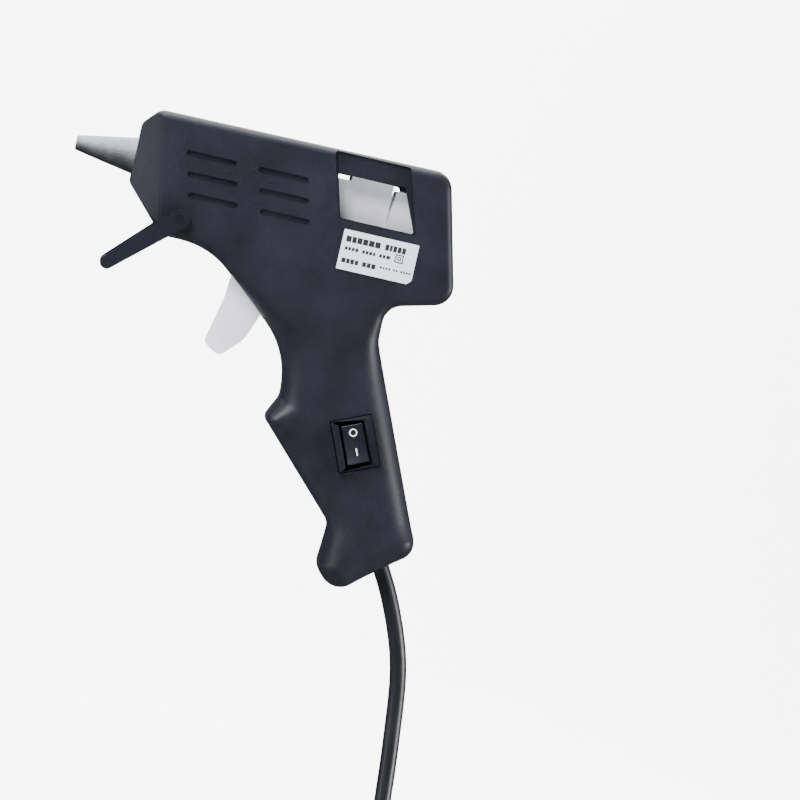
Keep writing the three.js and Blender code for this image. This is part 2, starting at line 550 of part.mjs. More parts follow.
addPiece('live_wire_to_heater', tubeAlong(
  [[81.6, switchBack + 0.8, -66], [78.6, switchBack + 0.6, -59], [76, -7, -52], ...tail(-1)], WIRE_RADIUS, 28, 2),
WIRE_BROWN);

// ---------- mains lead ----------
const coilEntry = COIL.centre[0] + COIL.turnRadius;
const coilEdge = Math.sqrt((COIL.turnRadius + COIL.bundle) ** 2 - (COIL.turnRadius - cordRadius) ** 2);
const CORD_ROUTE = [
  cordStart, alongExit(-5), alongExit(0), [104.1, 0, -112.6], [107, 0, -118.8], [109.6, 0, -125.2],
  [111.8, 0, -131.8], [113.4, 0, -138.8], [114.4, 0, -146], [114.9, 0, -154], [115, 0, -163], [115, 0, -172],
  [115, 0, -181], [115, 0, -190], [coilEntry, 0, COIL.centre[1] + coilEdge + CLEAR],
];
addPiece('cord', tubeAlong(CORD_ROUTE, cordRadius, 30, 2), RUBBER);

function coilRing() {
  const section = roundedShape([
    [COIL.turnRadius - COIL.bundle, -COIL.halfDepth, 2.2], [COIL.turnRadius + COIL.bundle, -COIL.halfDepth, 2.2],
    [COIL.turnRadius + COIL.bundle, COIL.halfDepth, 2.2], [COIL.turnRadius - COIL.bundle, COIL.halfDepth, 2.2],
  ], 0.8).getPoints();
  const ring = new THREE.LatheGeometry([...section, section[0]], 32);
  ring.translate(COIL.centre[0], 0, COIL.centre[1]);
  return toSolid(ring);
}
addPiece('cord_coil', coilRing(), RUBBER);

const tieTop = COIL.centre[1] + COIL.turnRadius;
const tieReach = COIL.bundle + CLEAR;
addPiece('coil_tie', cut(
  block([COIL.centre[0] - 2.5, -COIL.halfDepth - CLEAR - 1.2, tieTop - tieReach - 1.2],
    [COIL.centre[0] + 2.5, COIL.halfDepth + CLEAR + 1.2, tieTop + tieReach + 1.2]),
  block([COIL.centre[0] - 3, -COIL.halfDepth - CLEAR, tieTop - tieReach - 0.1],
    [COIL.centre[0] + 3, COIL.halfDepth + CLEAR, tieTop + tieReach])), RUBBER);

const tailX = coilEntry - cordRadius - 0.05;
const tailY = COIL.halfDepth + cordRadius + 0.4;
const plugTop = COIL.centre[1] - PLUG.drop;
addPiece('cord_tail', tubeAlong([
  [tailX, tailY, COIL.centre[1] - 3], [tailX, tailY, COIL.centre[1] - 20], [tailX, tailY, plugTop + 1]],
cordRadius, 6, 2), RUBBER);
addPiece('plug_boot', placed(cut(
  coneZ(cordRadius + 1.95, cordRadius + 0.85, PLUG.bootLength), rodZ(cordRadius + CLEAR, PLUG.bootLength)),
tailX, tailY, plugTop + PLUG.bootLength / 2 + CLEAR), RUBBER);
const half = PLUG.width / 2;
const pinSocket = (side) => placed(rodZ(PIN.radius + CLEAR, 7), tailX + (side * PIN.pitch) / 2, tailY,
  plugTop - PLUG.length);
addPiece('plug_body', cut(plate([
  [tailX - PLUG.neck / 2, plugTop, 2], [tailX + PLUG.neck / 2, plugTop, 2], [tailX + half, plugTop - 12, 4],
  [tailX + half, plugTop - PLUG.length, 2], [tailX - half, plugTop - PLUG.length, 2], [tailX - half, plugTop - 12, 4],
], tailY - PLUG.depth / 2, tailY + PLUG.depth / 2), pinSocket(-1), pinSocket(1)), RUBBER);
[-1, 1].forEach((side, i) => {
  const reach = (PIN.length + 6.5) / 2;
  addPiece(`plug_pin_${i + 1}`, placed(rodZ(PIN.radius, reach, 16), tailX + (side * PIN.pitch) / 2, tailY,
    plugTop - PLUG.length - PIN.length + reach), BRASS);
});

export default gun;
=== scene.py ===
"""Looks of a small hot-glue gun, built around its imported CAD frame.

Every length is in metres, in the frame of the part: the barrel lies along X with the nozzle towards -X,
+Z is up and the middle of the grip is the origin. Drawing sizes are in millimetres about the nozzle's
axis, as on a maker's drawing, and place() brings them into the frame.
"""

from __future__ import annotations

import json
import logging
import math
from collections.abc import Callable, Sequence
from dataclasses import dataclass, field
from enum import Enum

import bmesh
import bpy
from mathutils import Matrix, Vector

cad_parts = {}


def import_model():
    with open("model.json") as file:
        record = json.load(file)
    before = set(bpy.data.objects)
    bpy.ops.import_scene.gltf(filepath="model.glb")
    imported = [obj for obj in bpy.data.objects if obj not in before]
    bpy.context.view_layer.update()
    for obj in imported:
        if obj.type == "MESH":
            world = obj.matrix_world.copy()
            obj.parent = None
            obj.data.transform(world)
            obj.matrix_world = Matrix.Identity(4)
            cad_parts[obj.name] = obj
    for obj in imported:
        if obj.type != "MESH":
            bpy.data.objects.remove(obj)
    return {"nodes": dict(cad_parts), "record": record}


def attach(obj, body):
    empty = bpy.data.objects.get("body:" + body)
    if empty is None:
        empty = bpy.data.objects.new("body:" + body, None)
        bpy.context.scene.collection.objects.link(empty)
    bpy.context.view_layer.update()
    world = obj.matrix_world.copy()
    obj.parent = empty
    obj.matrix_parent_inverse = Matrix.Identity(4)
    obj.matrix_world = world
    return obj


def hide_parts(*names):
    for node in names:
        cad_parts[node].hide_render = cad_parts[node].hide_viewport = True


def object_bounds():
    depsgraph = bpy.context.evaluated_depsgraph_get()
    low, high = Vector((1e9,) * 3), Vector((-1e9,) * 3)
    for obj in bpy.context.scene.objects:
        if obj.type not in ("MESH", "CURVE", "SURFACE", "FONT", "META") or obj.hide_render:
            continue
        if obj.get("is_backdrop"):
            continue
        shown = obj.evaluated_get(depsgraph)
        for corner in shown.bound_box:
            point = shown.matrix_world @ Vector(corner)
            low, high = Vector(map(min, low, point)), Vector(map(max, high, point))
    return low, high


LOG = logging.getLogger("glue_gun")
MM = 0.001
GRIP_CENTRE = (78.0, -62.0)
HALF_WIDTH = 13.5
PARTING = 0.2
WALL = 2.0
NOSE_SLANT = math.radians(10.3)
GRIP_SWEEP = math.radians(23)
EXIT_LEAN = math.radians(31)
WHOLE_TURN = 2 * math.pi
SMOOTH_BELOW = 50
CLOUD_SCALE = 60

Point2 = tuple[float, float]
Corner = tuple[float, float, float]
Socket = bpy.types.NodeSocket
Node = bpy.types.Node


class Side(Enum):
    """Which half of the gun a piece belongs to, as the sign of its Y."""

    LEFT = -1
    RIGHT = 1


class Joining(Enum):
    """What carve() does with its tools."""

    CUT = "DIFFERENCE"
    ADD = "UNION"


class Body(Enum):
    """The CAD bodies that the pieces made here ride on."""

    CASING = "casing"
    TRIGGER = "trigger"
    ROCKER = "rocker"
    STAND = "stand"


def place(x: float, y: float, z: float) -> Vector:
    """A drawing point in millimetres as a point of the frame in metres."""
    return Vector(((x - GRIP_CENTRE[0]) * MM, y * MM, (z - GRIP_CENTRE[1]) * MM))


# ---------------------------------------------------------------- materials


class Tree:
    """A small helper that adds and links the nodes of one material."""

    def __init__(self, name: str) -> None:
        """Starts a material with one Principled shader.

        Args:
            name: the material's name.
        """
        self.material = bpy.data.materials.new(name)
        self.material.use_nodes = True
        self.nodes = self.material.node_tree.nodes
        self.links = self.material.node_tree.links
        self.nodes.clear()
        self.output = self.nodes.new("ShaderNodeOutputMaterial")
        self.shader = self.nodes.new("ShaderNodeBsdfPrincipled")
        self.links.new(self.shader.outputs["BSDF"], self.output.inputs["Surface"])
        coordinates = self.nodes.new("ShaderNodeTexCoord")
        self.object_coordinates = coordinates.outputs["Object"]

    def set(self, **values: float | Sequence[float]) -> None:
        """Sets sockets of the shader, with underscores in place of spaces in their names."""
        for name, value in values.items():
            self.shader.inputs[name.replace("_", " ")].default_value = value

    def noise(
        self, scale: float, detail: float = 3.0, roughness: float = 0.55,
        stretch: Sequence[float] = (1, 1, 1),
    ) -> Socket:
        """Noise on the object's own coordinates.

        Args:
            scale: how many grains there are in a metre.
            detail: octaves of finer noise.
            roughness: how strong the finer octaves are.
            stretch: scale along each axis.

        Returns:
            The noise's factor, about 0.3 to 0.7.
        """
        mapping = self.nodes.new("ShaderNodeMapping")
        mapping.inputs["Scale"].default_value = stretch
        self.links.new(self.object_coordinates, mapping.inputs["Vector"])
        texture = self.nodes.new("ShaderNodeTexNoise")
        texture.inputs["Scale"].default_value = scale
        texture.inputs["Detail"].default_value = detail
        texture.inputs["Roughness"].default_value = roughness
        self.links.new(mapping.outputs["Vector"], texture.inputs["Vector"])
        return texture.outputs["Fac"]

    def ramp(self, factor: Socket, stops: Sequence[tuple[float, Sequence[float]]]) -> Socket:
        """Colours a factor by stops.

        Args:
            factor: a value of 0 to 1.
            stops: position and colour of each stop.

        Returns:
            The colour.
        """
        node = self.nodes.new("ShaderNodeValToRGB")
        elements = node.color_ramp.elements
        while len(elements) < len(stops):
            elements.new(0.5)
        for element, (position, colour) in zip(elements, stops, strict=True):
            element.position = position
            element.color = (*colour, 1.0)
        self.links.new(factor, node.inputs["Fac"])
        return node.outputs["Color"]

    def map_range(self, value: Socket, low: float, high: float, to_low: float, to_high: float) -> Socket:
        """Brings a value from one range to another.

        Args:
            value: the value.
            low: where its range starts.
            high: where its range ends.
            to_low: what low becomes.
            to_high: what high becomes.

        Returns:
            The value in its new range.
        """
        node = self.nodes.new("ShaderNodeMapRange")
        limits = {"From Min": low, "From Max": high, "To Min": to_low, "To Max": to_high}
        for name, number in limits.items():
            node.inputs[name].default_value = number
        self.links.new(value, node.inputs["Value"])
        return node.outputs["Result"]

    def add(self, first: Socket, second: Socket, share: float = 1.0) -> Socket:
        """Adds a share of one value to another.

        Args:
            first: the value that is kept whole.
            second: the value that is added.
            share: how much of it.

        Returns:
            The sum.
        """
        node = self.nodes.new("ShaderNodeMath")
        node.operation = "MULTIPLY_ADD"
        self.links.new(second, node.inputs[0])
        node.inputs[1].default_value = share
        self.links.new(first, node.inputs[2])
        return node.outputs["Value"]

    def bump(self, height: Socket, depth_mm: float) -> None:
        """Bumps the surface.

        Args:
            height: a height of 0 to 1.
            depth_mm: what the height of 1 stands for, in millimetres.
        """
        node = self.nodes.new("ShaderNodeBump")
        node.inputs["Distance"].default_value = depth_mm * MM
        self.links.new(height, node.inputs["Height"])
        self.links.new(node.outputs["Normal"], self.shader.inputs["Normal"])

    def colour(self, socket: Socket) -> None:
        """Drives the base colour."""
        self.links.new(socket, self.shader.inputs["Base Color"])

    def roughness(self, socket: Socket) -> None:
        """Drives the roughness."""
        self.links.new(socket, self.shader.inputs["Roughness"])


@dataclass(frozen=True)
class Moulding:
    """Moulded plastic or rubber: a base colour with slight drift, and a grain."""

    name: str
    colour: tuple[float, float, float]
    drift: tuple[float, float, float]
    roughness: tuple[float, float]
    grain_scale: float
    grain_depth: float
    specular: float = 0.5
    fine_scale: float = 0.0

    def build(self) -> bpy.types.Material:
        """Makes the material.

        Returns:
            The finished material.
        """
        tree = Tree(self.name)
        tree.set(Base_Color=(*self.colour, 1.0), Specular_IOR_Level=self.specular)
        cloud = tree.noise(CLOUD_SCALE, 4)
        tree.colour(tree.ramp(cloud, [(0.3, self.colour), (0.7, self.drift)]))
        grain = tree.noise(self.grain_scale, 2.0, 0.6)
        if self.fine_scale:
            grain = tree.add(grain, tree.noise(self.fine_scale, 2.0, 0.5), 0.5)
        low, high = self.roughness
        tree.roughness(tree.map_range(tree.add(grain, cloud, 0.4), 0.4, 1.0, low, high))
        tree.bump(grain, self.grain_depth)
        return tree.material


@dataclass(frozen=True)
class Metal:
    """Bare metal with tool marks or a cast skin."""

    name: str
    colour: tuple[float, float, float]
    shade: tuple[float, float, float]
    roughness: tuple[float, float]
    scale: float
    depth: float
    stretch: tuple[float, float, float] = (1, 1, 1)

    def build(self) -> bpy.types.Material:
        """Makes the material.

        Returns:
            The finished material.
        """
        tree = Tree(self.name)
        tree.set(Metallic=1.0)
        skin = tree.noise(self.scale, 4.0, 0.6, self.stretch)
        blotch = tree.noise(self.scale / 6, 3.0)
        tree.colour(tree.ramp(blotch, [(0.35, self.shade), (0.65, self.colour)]))
        tree.roughness(tree.map_range(tree.add(skin, blotch, 0.5), 0.45, 1.05, *self.roughness))
        tree.bump(skin, self.depth)
        return tree.material


class Finishes:
    """Every material of the gun, built once and given out by slot."""

    def __init__(self) -> None:
        """Builds one material for each of the record's slots."""
        kinds: list[Moulding | Metal] = [
            Moulding("black_plastic", (0.0055, 0.0063, 0.0125), (0.0115, 0.0132, 0.023),
                     (0.36, 0.50), 1250, 0.045, 0.34, 2900),
            Moulding("black_gloss", (0.006, 0.0068, 0.0125), (0.0095, 0.0108, 0.0185),
                     (0.26, 0.42), 1800, 0.05),
            Moulding("white_plastic", (0.80, 0.81, 0.87), (0.84, 0.85, 0.90), (0.35, 0.5), 900, 0.01),
            Moulding("silicone", (0.42, 0.06, 0.03), (0.5, 0.08, 0.04), (0.6, 0.75), 700, 0.02),
            Moulding("ceramic", (0.62, 0.58, 0.5), (0.7, 0.67, 0.6), (0.7, 0.85), 1600, 0.03),
            Moulding("label_paper", (0.74, 0.78, 0.88), (0.78, 0.82, 0.92), (0.4, 0.5), 1800, 0.004),
            Moulding("cord_rubber", (0.005, 0.0055, 0.009), (0.0085, 0.0095, 0.014),
                     (0.36, 0.5), 1200, 0.03),
            Moulding("wire_blue", (0.02, 0.07, 0.32), (0.03, 0.09, 0.38), (0.3, 0.4), 1500, 0.01),
            Moulding("wire_brown", (0.1, 0.04, 0.016), (0.13, 0.055, 0.02), (0.3, 0.4), 1500, 0.01),
            Metal("aluminium", (0.34, 0.353, 0.395), (0.23, 0.24, 0.275), (0.56, 0.74), 1100, 0.14),
            Metal("steel", (0.56, 0.56, 0.57), (0.44, 0.44, 0.46), (0.25, 0.4), 500, 0.01, (1, 6, 1)),
            Metal("brass", (0.72, 0.68, 0.60), (0.6, 0.55, 0.45), (0.2, 0.35), 500, 0.006, (1, 1, 0.1)),
        ]
        self.by_slot: dict[str, bpy.types.Material] = {kind.name: kind.build() for kind in kinds}
        ink = Moulding("print_ink", (0.012, 0.012, 0.016), (0.02, 0.02, 0.024), (0.5, 0.6), 1500, 0.002)
        paint = Moulding("mark_paint", (0.72, 0.73, 0.76), (0.8, 0.8, 0.82), (0.5, 0.6), 1500, 0.002)
        self.print_ink = ink.build()
        self.mark_paint = paint.build()

    def dress(self, obj: bpy.types.Object, slot: str) -> None:
        """Gives an object the material of a slot."""
        obj.data.materials.clear()
        obj.data.materials.append(self.by_slot[slot])


# ---------------------------------------------------------------- drawing helpers


def rounded(corners: Sequence[Corner], step: float = 0.08) -> list[Point2]:
    """A closed outline with each corner rounded to its radius.

    Args:
        corners: x, z and radius of each corner.
        step: angle between two points of an arc, in radians.

    Returns:
        The outline's points, in order.
    """
    points: list[Point2] = []
    for i, (x, z, radius) in enumerate(corners):
        here = Vector((x, z))
        before = (Vector(corners[i - 1][:2]) - here).normalized()
        after = (Vector(corners[(i + 1) % len(corners)][:2]) - here).normalized()
        if radius == 0:
            points.append((x, z))
            continue
        half = math.acos(max(-1.0, min(1.0, before.dot(after)))) / 2
        centre = here + (before + after).normalized() * (radius / math.sin(half))
        start = here + before * (radius / math.tan(half)) - centre
        turn = (math.pi - 2 * half) * math.copysign(1, after.x * before.y - after.y * before.x)
        steps = max(2, math.ceil(abs(turn) / step))
        for k in range(steps + 1):
            angle = turn * k / steps
            c, s = math.cos(angle), math.sin(angle)
            points.append((centre.x + start.x * c - start.y * s, centre.y + start.x * s + start.y * c))
    return points


def spaced(points: Sequence[Point2], gap: float) -> list[Point2]:
    """The same closed outline with extra points on its long straight runs.

    Args:
        points: the outline.
        gap: the longest run left between two points.

    Returns:
        The outline with its extra points.
    """
    filled: list[Point2] = []
    for i, first in enumerate(points):
        second = points[(i + 1) % len(points)]
        count = max(1, math.ceil(math.dist(first, second) / gap))
        wide, high = second[0] - first[0], second[1] - first[1]
        filled.extend((first[0] + wide * k / count, first[1] + high * k / count) for k in range(count))
    return filled


def new_object(name: str, data: bpy.types.ID) -> bpy.types.Object:
    """A new object in the scene, at the origin."""
    obj = bpy.data.objects.new(name, data)
    bpy.context.scene.collection.objects.link(obj)
    return obj


def mesh_object(
    name: str, build: Callable[[bmesh.types.BMesh], None], smooth_angle: float = 35
) -> bpy.types.Object:
    """A new object whose mesh is filled in by build, in millimetres of the drawing.

    Args:
        name: the object's name.
        build: fills an empty bmesh with drawing coordinates.
        smooth_angle: edges flatter than this many degrees are shaded smooth.

    Returns:
        The object, at the origin, with its mesh in metres of the frame.
    """
    mesh = bpy.data.meshes.new(name)
    shape = bmesh.new()
    build(shape)
    bmesh.ops.remove_doubles(shape, verts=shape.verts, dist=1e-5)
    bmesh.ops.recalc_face_normals(shape, faces=shape.faces)
    for vertex in shape.verts:
        vertex.co = place(*vertex.co)
    shape.to_mesh(mesh)
    shape.free()
    obj = new_object(name, mesh)
    shade(obj, smooth_angle)
    return obj


def shade(obj: bpy.types.Object, angle: float = 35) -> None:
    """Smooth shading, sharp at edges that turn by more than angle degrees."""
    obj.data.shade_smooth()
    obj.data.set_sharp_from_angle(angle=math.radians(angle))


def apply_modifiers(obj: bpy.types.Object) -> None:
    """Turns the object's modified shape into its mesh, with no modifier left.

    Args:
        obj: the object that is changed.
    """
    graph = bpy.context.evaluated_depsgraph_get()
    mesh = bpy.data.meshes.new_from_object(obj.evaluated_get(graph))
    obj.modifiers.clear()
    obj.data = mesh


def carve(
    obj: bpy.types.Object, tools: Sequence[bpy.types.Object], joining: Joining = Joining.CUT
) -> None:
    """Cuts the tools from the object, or adds them to it, and removes them.

    Args:
        obj: the object that is changed.
        tools: closed objects.
        joining: whether they are cut from it or added to it.
    """
    for tool in tools:
        modifier = obj.modifiers.new("carve", "BOOLEAN")
        modifier.operation = joining.value
        modifier.solver = "EXACT"
        modifier.object = tool
        apply_modifiers(obj)
    for tool in tools:
        bpy.data.objects.remove(tool)


def bevelled(
    obj: bpy.types.Object, width_mm: float, segments: int = 3, angle: float = 50
) -> bpy.types.Object:
    """Rounds the object's sharp edges.

    Args:
        obj: the object that is changed.
        width_mm: how far the rounding reaches from an edge, in millimetres.
        segments: how many faces go round an edge.
        angle: edges flatter than this many degrees are left alone.

    Returns:
        The same object.
    """
    modifier = obj.modifiers.new("edges", "BEVEL")
    modifier.width = width_mm * MM
    modifier.segments = segments
    modifier.limit_method = "ANGLE"
    modifier.angle_limit = math.radians(angle)
    apply_modifiers(obj)
    shade(obj, SMOOTH_BELOW)
    return obj


def band(
    shape: bmesh.types.BMesh, low: Sequence[bmesh.types.BMVert], high: Sequence[bmesh.types.BMVert]
) -> None:
    """Adds the faces between two closed rings that have as many points.

    Args:
        shape: where the faces go.
        low: the one ring.
        high: the other ring.
    """
    for i in range(len(low)):
        j = (i + 1) % len(low)
        shape.faces.new((low[i], low[j], high[j], high[i]))


def closed_band(
    shape: bmesh.types.BMesh, low: Sequence[bmesh.types.BMVert], high: Sequence[bmesh.types.BMVert]
) -> None:
    """Adds the faces between two closed rings, and a face over each of them.

    Args:
        shape: where the faces go.
        low: the one ring.
        high: the other ring.
    """
    shape.faces.new(low)
    shape.faces.new(high)
    band(shape, low, high)


def signed_area(points: Sequence[Point2]) -> float:
    """Twice the area inside a closed outline, with the sign of the way it goes round."""
    after = [*points[1:], points[0]]
    return sum(p[0] * q[1] - q[0] * p[1] for p, q in zip(points, after, strict=True))


def prism(shape: bmesh.types.BMesh, outline: Sequence[Point2], y_from: float, y_to: float) -> None:
    """Adds an outline of the X-Z plane, given thickness along Y.

    Args:
        shape: where the faces go.
        outline: the closed outline.
        y_from: its one side.
        y_to: its other side.
    """
    low = [shape.verts.new((x, y_from, z)) for x, z in outline]
    high = [shape.verts.new((x, y_to, z)) for x, z in outline]
    closed_band(shape, low, high)


def slab(
    name: str, corners: Sequence[Corner], y_from: float, y_to: float, step: float = 0.15
) -> bpy.types.Object:
    """An object with a rounded outline and flat sides.

    Args:
        name: the object's name.
        corners: x, z and radius of each corner.
        y_from: its one side.
        y_to: its other side.
        step: angle between two points of a rounded corner, in radians.

    Returns:
        The object.
    """
    return mesh_object(name, lambda shape: prism(shape, rounded(corners, step), y_from, y_to))


def leaned_points(points: Sequence[Point2], angle: float, centre: Point2) -> list[Point2]:
    """Points drawn about the origin, turned and then moved.

    Args:
        points: x and z of each point.
        angle: how far their downward side leans to +X, in radians.
        centre: where the origin of the drawing goes.

    Returns:
        The points in place.
    """
    c, s = math.cos(angle), math.sin(angle)
    return [(centre[0] + x * c - z * s, centre[1] + x * s + z * c) for x, z in points]


def leaned_corners(corners: Sequence[Corner], angle: float, centre: Point2) -> list[Corner]:
    """Corners drawn about the origin, turned and then moved, with their radii kept.

    Args:
        corners: x, z and radius of each corner.
        angle: how far their downward side leans to +X, in radians.
        centre: where the origin of the drawing goes.

    Returns:
        The corners in place.
    """
    turned = leaned_points([(x, z) for x, z, _ in corners], angle, centre)
    return [(x, z, corner[2]) for (x, z), corner in zip(turned, corners, strict=True)]


def box_corners(half_width: float, half_length: float, radius: float = 0.0) -> list[Corner]:
    """Corners of an upright rectangle about the origin."""
    return [(-half_width, -half_length, radius), (half_width, -half_length, radius),
            (half_width, half_length, radius), (-half_width, half_length, radius)]


def turned_about_x(name: str, profile: Sequence[Point2], sides: int = 96) -> bpy.types.Object:
    """A body turned about the nozzle's axis.

    Args:
        name: the object's name.
        profile: x and radius along its outside and back along its bore.
        sides: how many faces go round.

    Returns:
        The object.
    """

    def build(shape: bmesh.types.BMesh) -> None:
        """Fills in a ring for each point of the profile and the faces between them."""
        angles = [WHOLE_TURN * k / sides for k in range(sides)]
        rings = [
            [shape.verts.new((x, radius * math.sin(a), radius * math.cos(a))) for a in angles]
            for x, radius in profile
        ]
        for i, ring in enumerate(rings):
            band(shape, ring, rings[(i + 1) % len(rings)])

    return mesh_object(name, build, SMOOTH_BELOW)


def rod_y(
    name: str, centre: Point2, radius: float, y_from: float, y_to: float, sides: int = 48
) -> bpy.types.Object:
    """A round rod along Y.

    Args:
        name: the object's name.
        centre: its axis, as x and z.
        radius: its radius.
        y_from: its one end.
        y_to: its other end.
        sides: how many faces go round.

    Returns:
        The object.
    """
    ring = [(centre[0] + radius * math.cos(WHOLE_TURN * k / sides),
             centre[1] + radius * math.sin(WHOLE_TURN * k / sides)) for k in range(sides)]
    return mesh_object(name, lambda shape: prism(shape, ring, y_from, y_to))


def finish_piece(
    obj: bpy.types.Object, finishes: Finishes, slot: str, body: Body, replaced: Sequence[str] = ()
) -> bpy.types.Object:
    """Dresses a piece, makes it ride on its body and hides the CAD nodes it stands for.

    Args:
        obj: the piece, already in place.
        finishes: where its material comes from.
        slot: the record's material slot.
        body: the CAD body that it rides on.
        replaced: CAD nodes that it replaces.

    Returns:
        The same object.
    """
    finishes.dress(obj, slot)
    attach(obj, body.value)
    if replaced:
        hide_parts(*replaced)
    return obj


# ---------------------------------------------------------------- casing


@dataclass
class Casing:
    """The two halves of the clamshell, with their window, vents and openings."""

    finishes: Finishes
    front: float = -0.9
    barrel_edge: float = 2.6
    grip_edge: float = 7.5
    corner_share: float = 0.86
    rings: int = 9
    nose_end: float = 7.7
    nose_knee: Point2 = (4.5, 12.5)
    nose_half: float = 8.2
    wedge_outside: tuple[Point2, ...] = ((-30, 19), (11.5, 14.9))
    wedge_half_height: float = 45.0
    solid_nose: Corner = (-9.0, 8.3, 20.0)
    least_rounding: float = 0.5
    crease_angle: float = 14.0
    grip_from: float = 24.0
    grip_blend: float = 26.0
    corner_reach: float = 9.0
    corner_growth: float = 0.9
    corner_cap: float = 0.95
    least_edge: float = 1.2
    edge_smoothing: int = 10
    past: float = 40.0
    overlap: float = 1.0
    recess_depth: float = 1.6
    recess: tuple[Corner, ...] = (
        (62.9, -4.7, 0.8), (86.9, -4.7, 0.8), (80.8, 15.2, 0.8), (57.3, 15.2, 0.8))
    opening: tuple[Corner, ...] = (
        (63.4, -4.3, 0.6), (86.2, -4.3, 0.6), (80.6, 8.9, 0.8), (59.7, 8.9, 0.8))
    trigger_slot: tuple[Corner, ...] = (
        (34.6, -18, 0), (34.6, -29.5, 1), (45, -46, 1), (54, -46, 2), (56, -18, 0))
    trigger_slot_half: float = 4.7
    nose_hole: tuple[Point2, ...] = (
        (-5, 0.01), (-5, 6.4), (1.2, 6.4), (1.2, 8.3), (4.2, 8.3), (4.2, 0.01))
    inlet_hole: tuple[Point2, ...] = ((84, 0.01), (84, 4.5), (110, 4.5), (110, 0.01))
    stand_hole_radius: float = 1.8
    stand_hole_reach: Point2 = (8.0, 20.0)
    switch_recess: Corner = (6.45, 8.15, 0.5)
    switch_recess_depth: float = 9.0
    screw_recess_radius: float = 2.8
    screw_recess_depth: float = 5.0
    boss_radius: float = 3.1
    cord_clearance: float = 0.3
    vent_first: Point2 = (13.8, 4.4)
    vent_step: Point2 = (22.2, 6.1)
    vent_slant: float = 1.6
    vent_length: float = 15.4
    vent_height: float = 1.7
    vent_depth: float = 0.8
    screws: tuple[Point2, ...] = ((38, 11.2), (26, -14.4), (93.4, -15.4), (65, -42), (87, -108))
    corners: list[Corner] = field(default_factory=lambda: [
        (-0.9, 10.4, 3), (-0.9, -8, 3), (11.9, -21.6, 5), (27.4, -21.6, 27), (57.8, -47.8, 26),
        (58.3, -61.6, 4), (55.2, -69, 3), (81.6, -96.3, 4), (80.3, -121.8, 6.5), (109.2, -98.6, 6),
        (83.4, -38.4, 10), (83, -27.4, 6), (103.1, -22.4, 6), (93.4, 16.2, 6), (3.6, 15.3, 4),
    ])

    def outline(self) -> list[Point2]:
        """The casing's outline, evenly pointed."""
        return spaced(rounded(self.corners, 0.1), 1.0)

    def edge_radii(self, points: Sequence[Point2]) -> list[float]:
        """How far the side is rounded over at each point of the outline.

        Args:
            points: the outline.

        Returns:
            A radius for each point: small on the barrel, large on the grip, less than each corner's own.
        """
        count = len(points)
        radii: list[float] = []
        caps: list[float] = []
        for x, z in points:
            depth = min(1.0, max(0.0, (-z - self.grip_from) / self.grip_blend))
            on_grip = depth * depth * (3 - 2 * depth)
            limit = cap = self.barrel_edge + (self.grip_edge - self.barrel_edge) * on_grip
            for i, (cx, cz, radius) in enumerate(self.corners):
                past_arc = math.dist((x, z), (cx, cz)) - self.tangent_length(i)
                if self.is_outward(cx, cz) and past_arc < self.corner_reach:
                    grown = self.corner_growth * max(0.0, past_arc)
                    limit = min(limit, self.corner_share * radius + grown)
                    if past_arc < 0:
                        cap = min(cap, self.corner_cap * radius)
            radii.append(max(limit, self.least_edge))
            caps.append(cap)
        for _ in range(self.edge_smoothing):
            radii = [(radii[i - 1] + 2 * radii[i] + radii[(i + 1) % count]) / 4 for i in range(count)]
        return [min(radius, cap) for radius, cap in zip(radii, caps, strict=True)]

    def tangent_length(self, i: int) -> float:
        """How far from the sharp corner its rounding starts.

        Args:
            i: the corner's number.

        Returns:
            The distance in millimetres.
        """
        x, z, radius = self.corners[i]
        here = Vector((x, z))
        before = Vector(self.corners[i - 1][:2]) - here
        after = Vector(self.corners[(i + 1) % len(self.corners)][:2]) - here
        return radius / math.tan(before.angle(after) / 2)

    def is_outward(self, x: float, z: float) -> bool:
        """Whether a corner points out of the casing.

        Args:
            x: the corner's x.
            z: the corner's z.

        Returns:
            True if it does.
        """
        flat = [(cx, cz) for cx, cz, _ in self.corners]
        i = flat.index((x, z))
        (ax, az), (bx, bz) = flat[i - 1], flat[(i + 1) % len(flat)]
        return ((x - ax) * (bz - z) - (z - az) * (bx - x)) * signed_area(flat) > 0

    def shell_solid(self, name: str, side: Side, inset: float) -> bpy.types.Object:
        """One half of the casing as a closed solid, drawn in by inset on its outside.

        Args:
            name: the object's name.
            side: which half.
            inset: distance inside the casing's outside.

        Returns:
            The object.
        """
        points = self.outline()
        radii = self.edge_radii(points)
        count = len(points)
        turn = math.copysign(1, signed_area(points))
        normals = []
        for i in range(count):
            (ax, az), (bx, bz) = points[i - 1], points[(i + 1) % count]
            length = math.hypot(bx - ax, bz - az)
            normals.append((-turn * (bz - az) / length, turn * (bx - ax) / length))
        parting = (PARTING / 2 if inset == 0 else -1.0) * side.value
        widest = HALF_WIDTH - inset

        def ring(shape: bmesh.types.BMesh, angle: float | None) -> list[bmesh.types.BMVert]:
            """Adds one ring of points round the half.

            Args:
                shape: where the points go.
                angle: how far round the edge the ring lies, or None for the parting plane.

            Returns:
                The ring's points.
            """
            made = []
            for (x, z), (nx, nz), radius in zip(points, normals, radii, strict=True):
                rounding = max(radius - inset, self.least_rounding)
                if angle is None:
                    move, y = inset, parting
                else:
                    move = inset + rounding * (1 - math.cos(angle))
                    y = side.value * (widest - rounding * (1 - math.sin(angle)))
                made.append(shape.verts.new((x + nx * move, y, z + nz * move)))
            return made

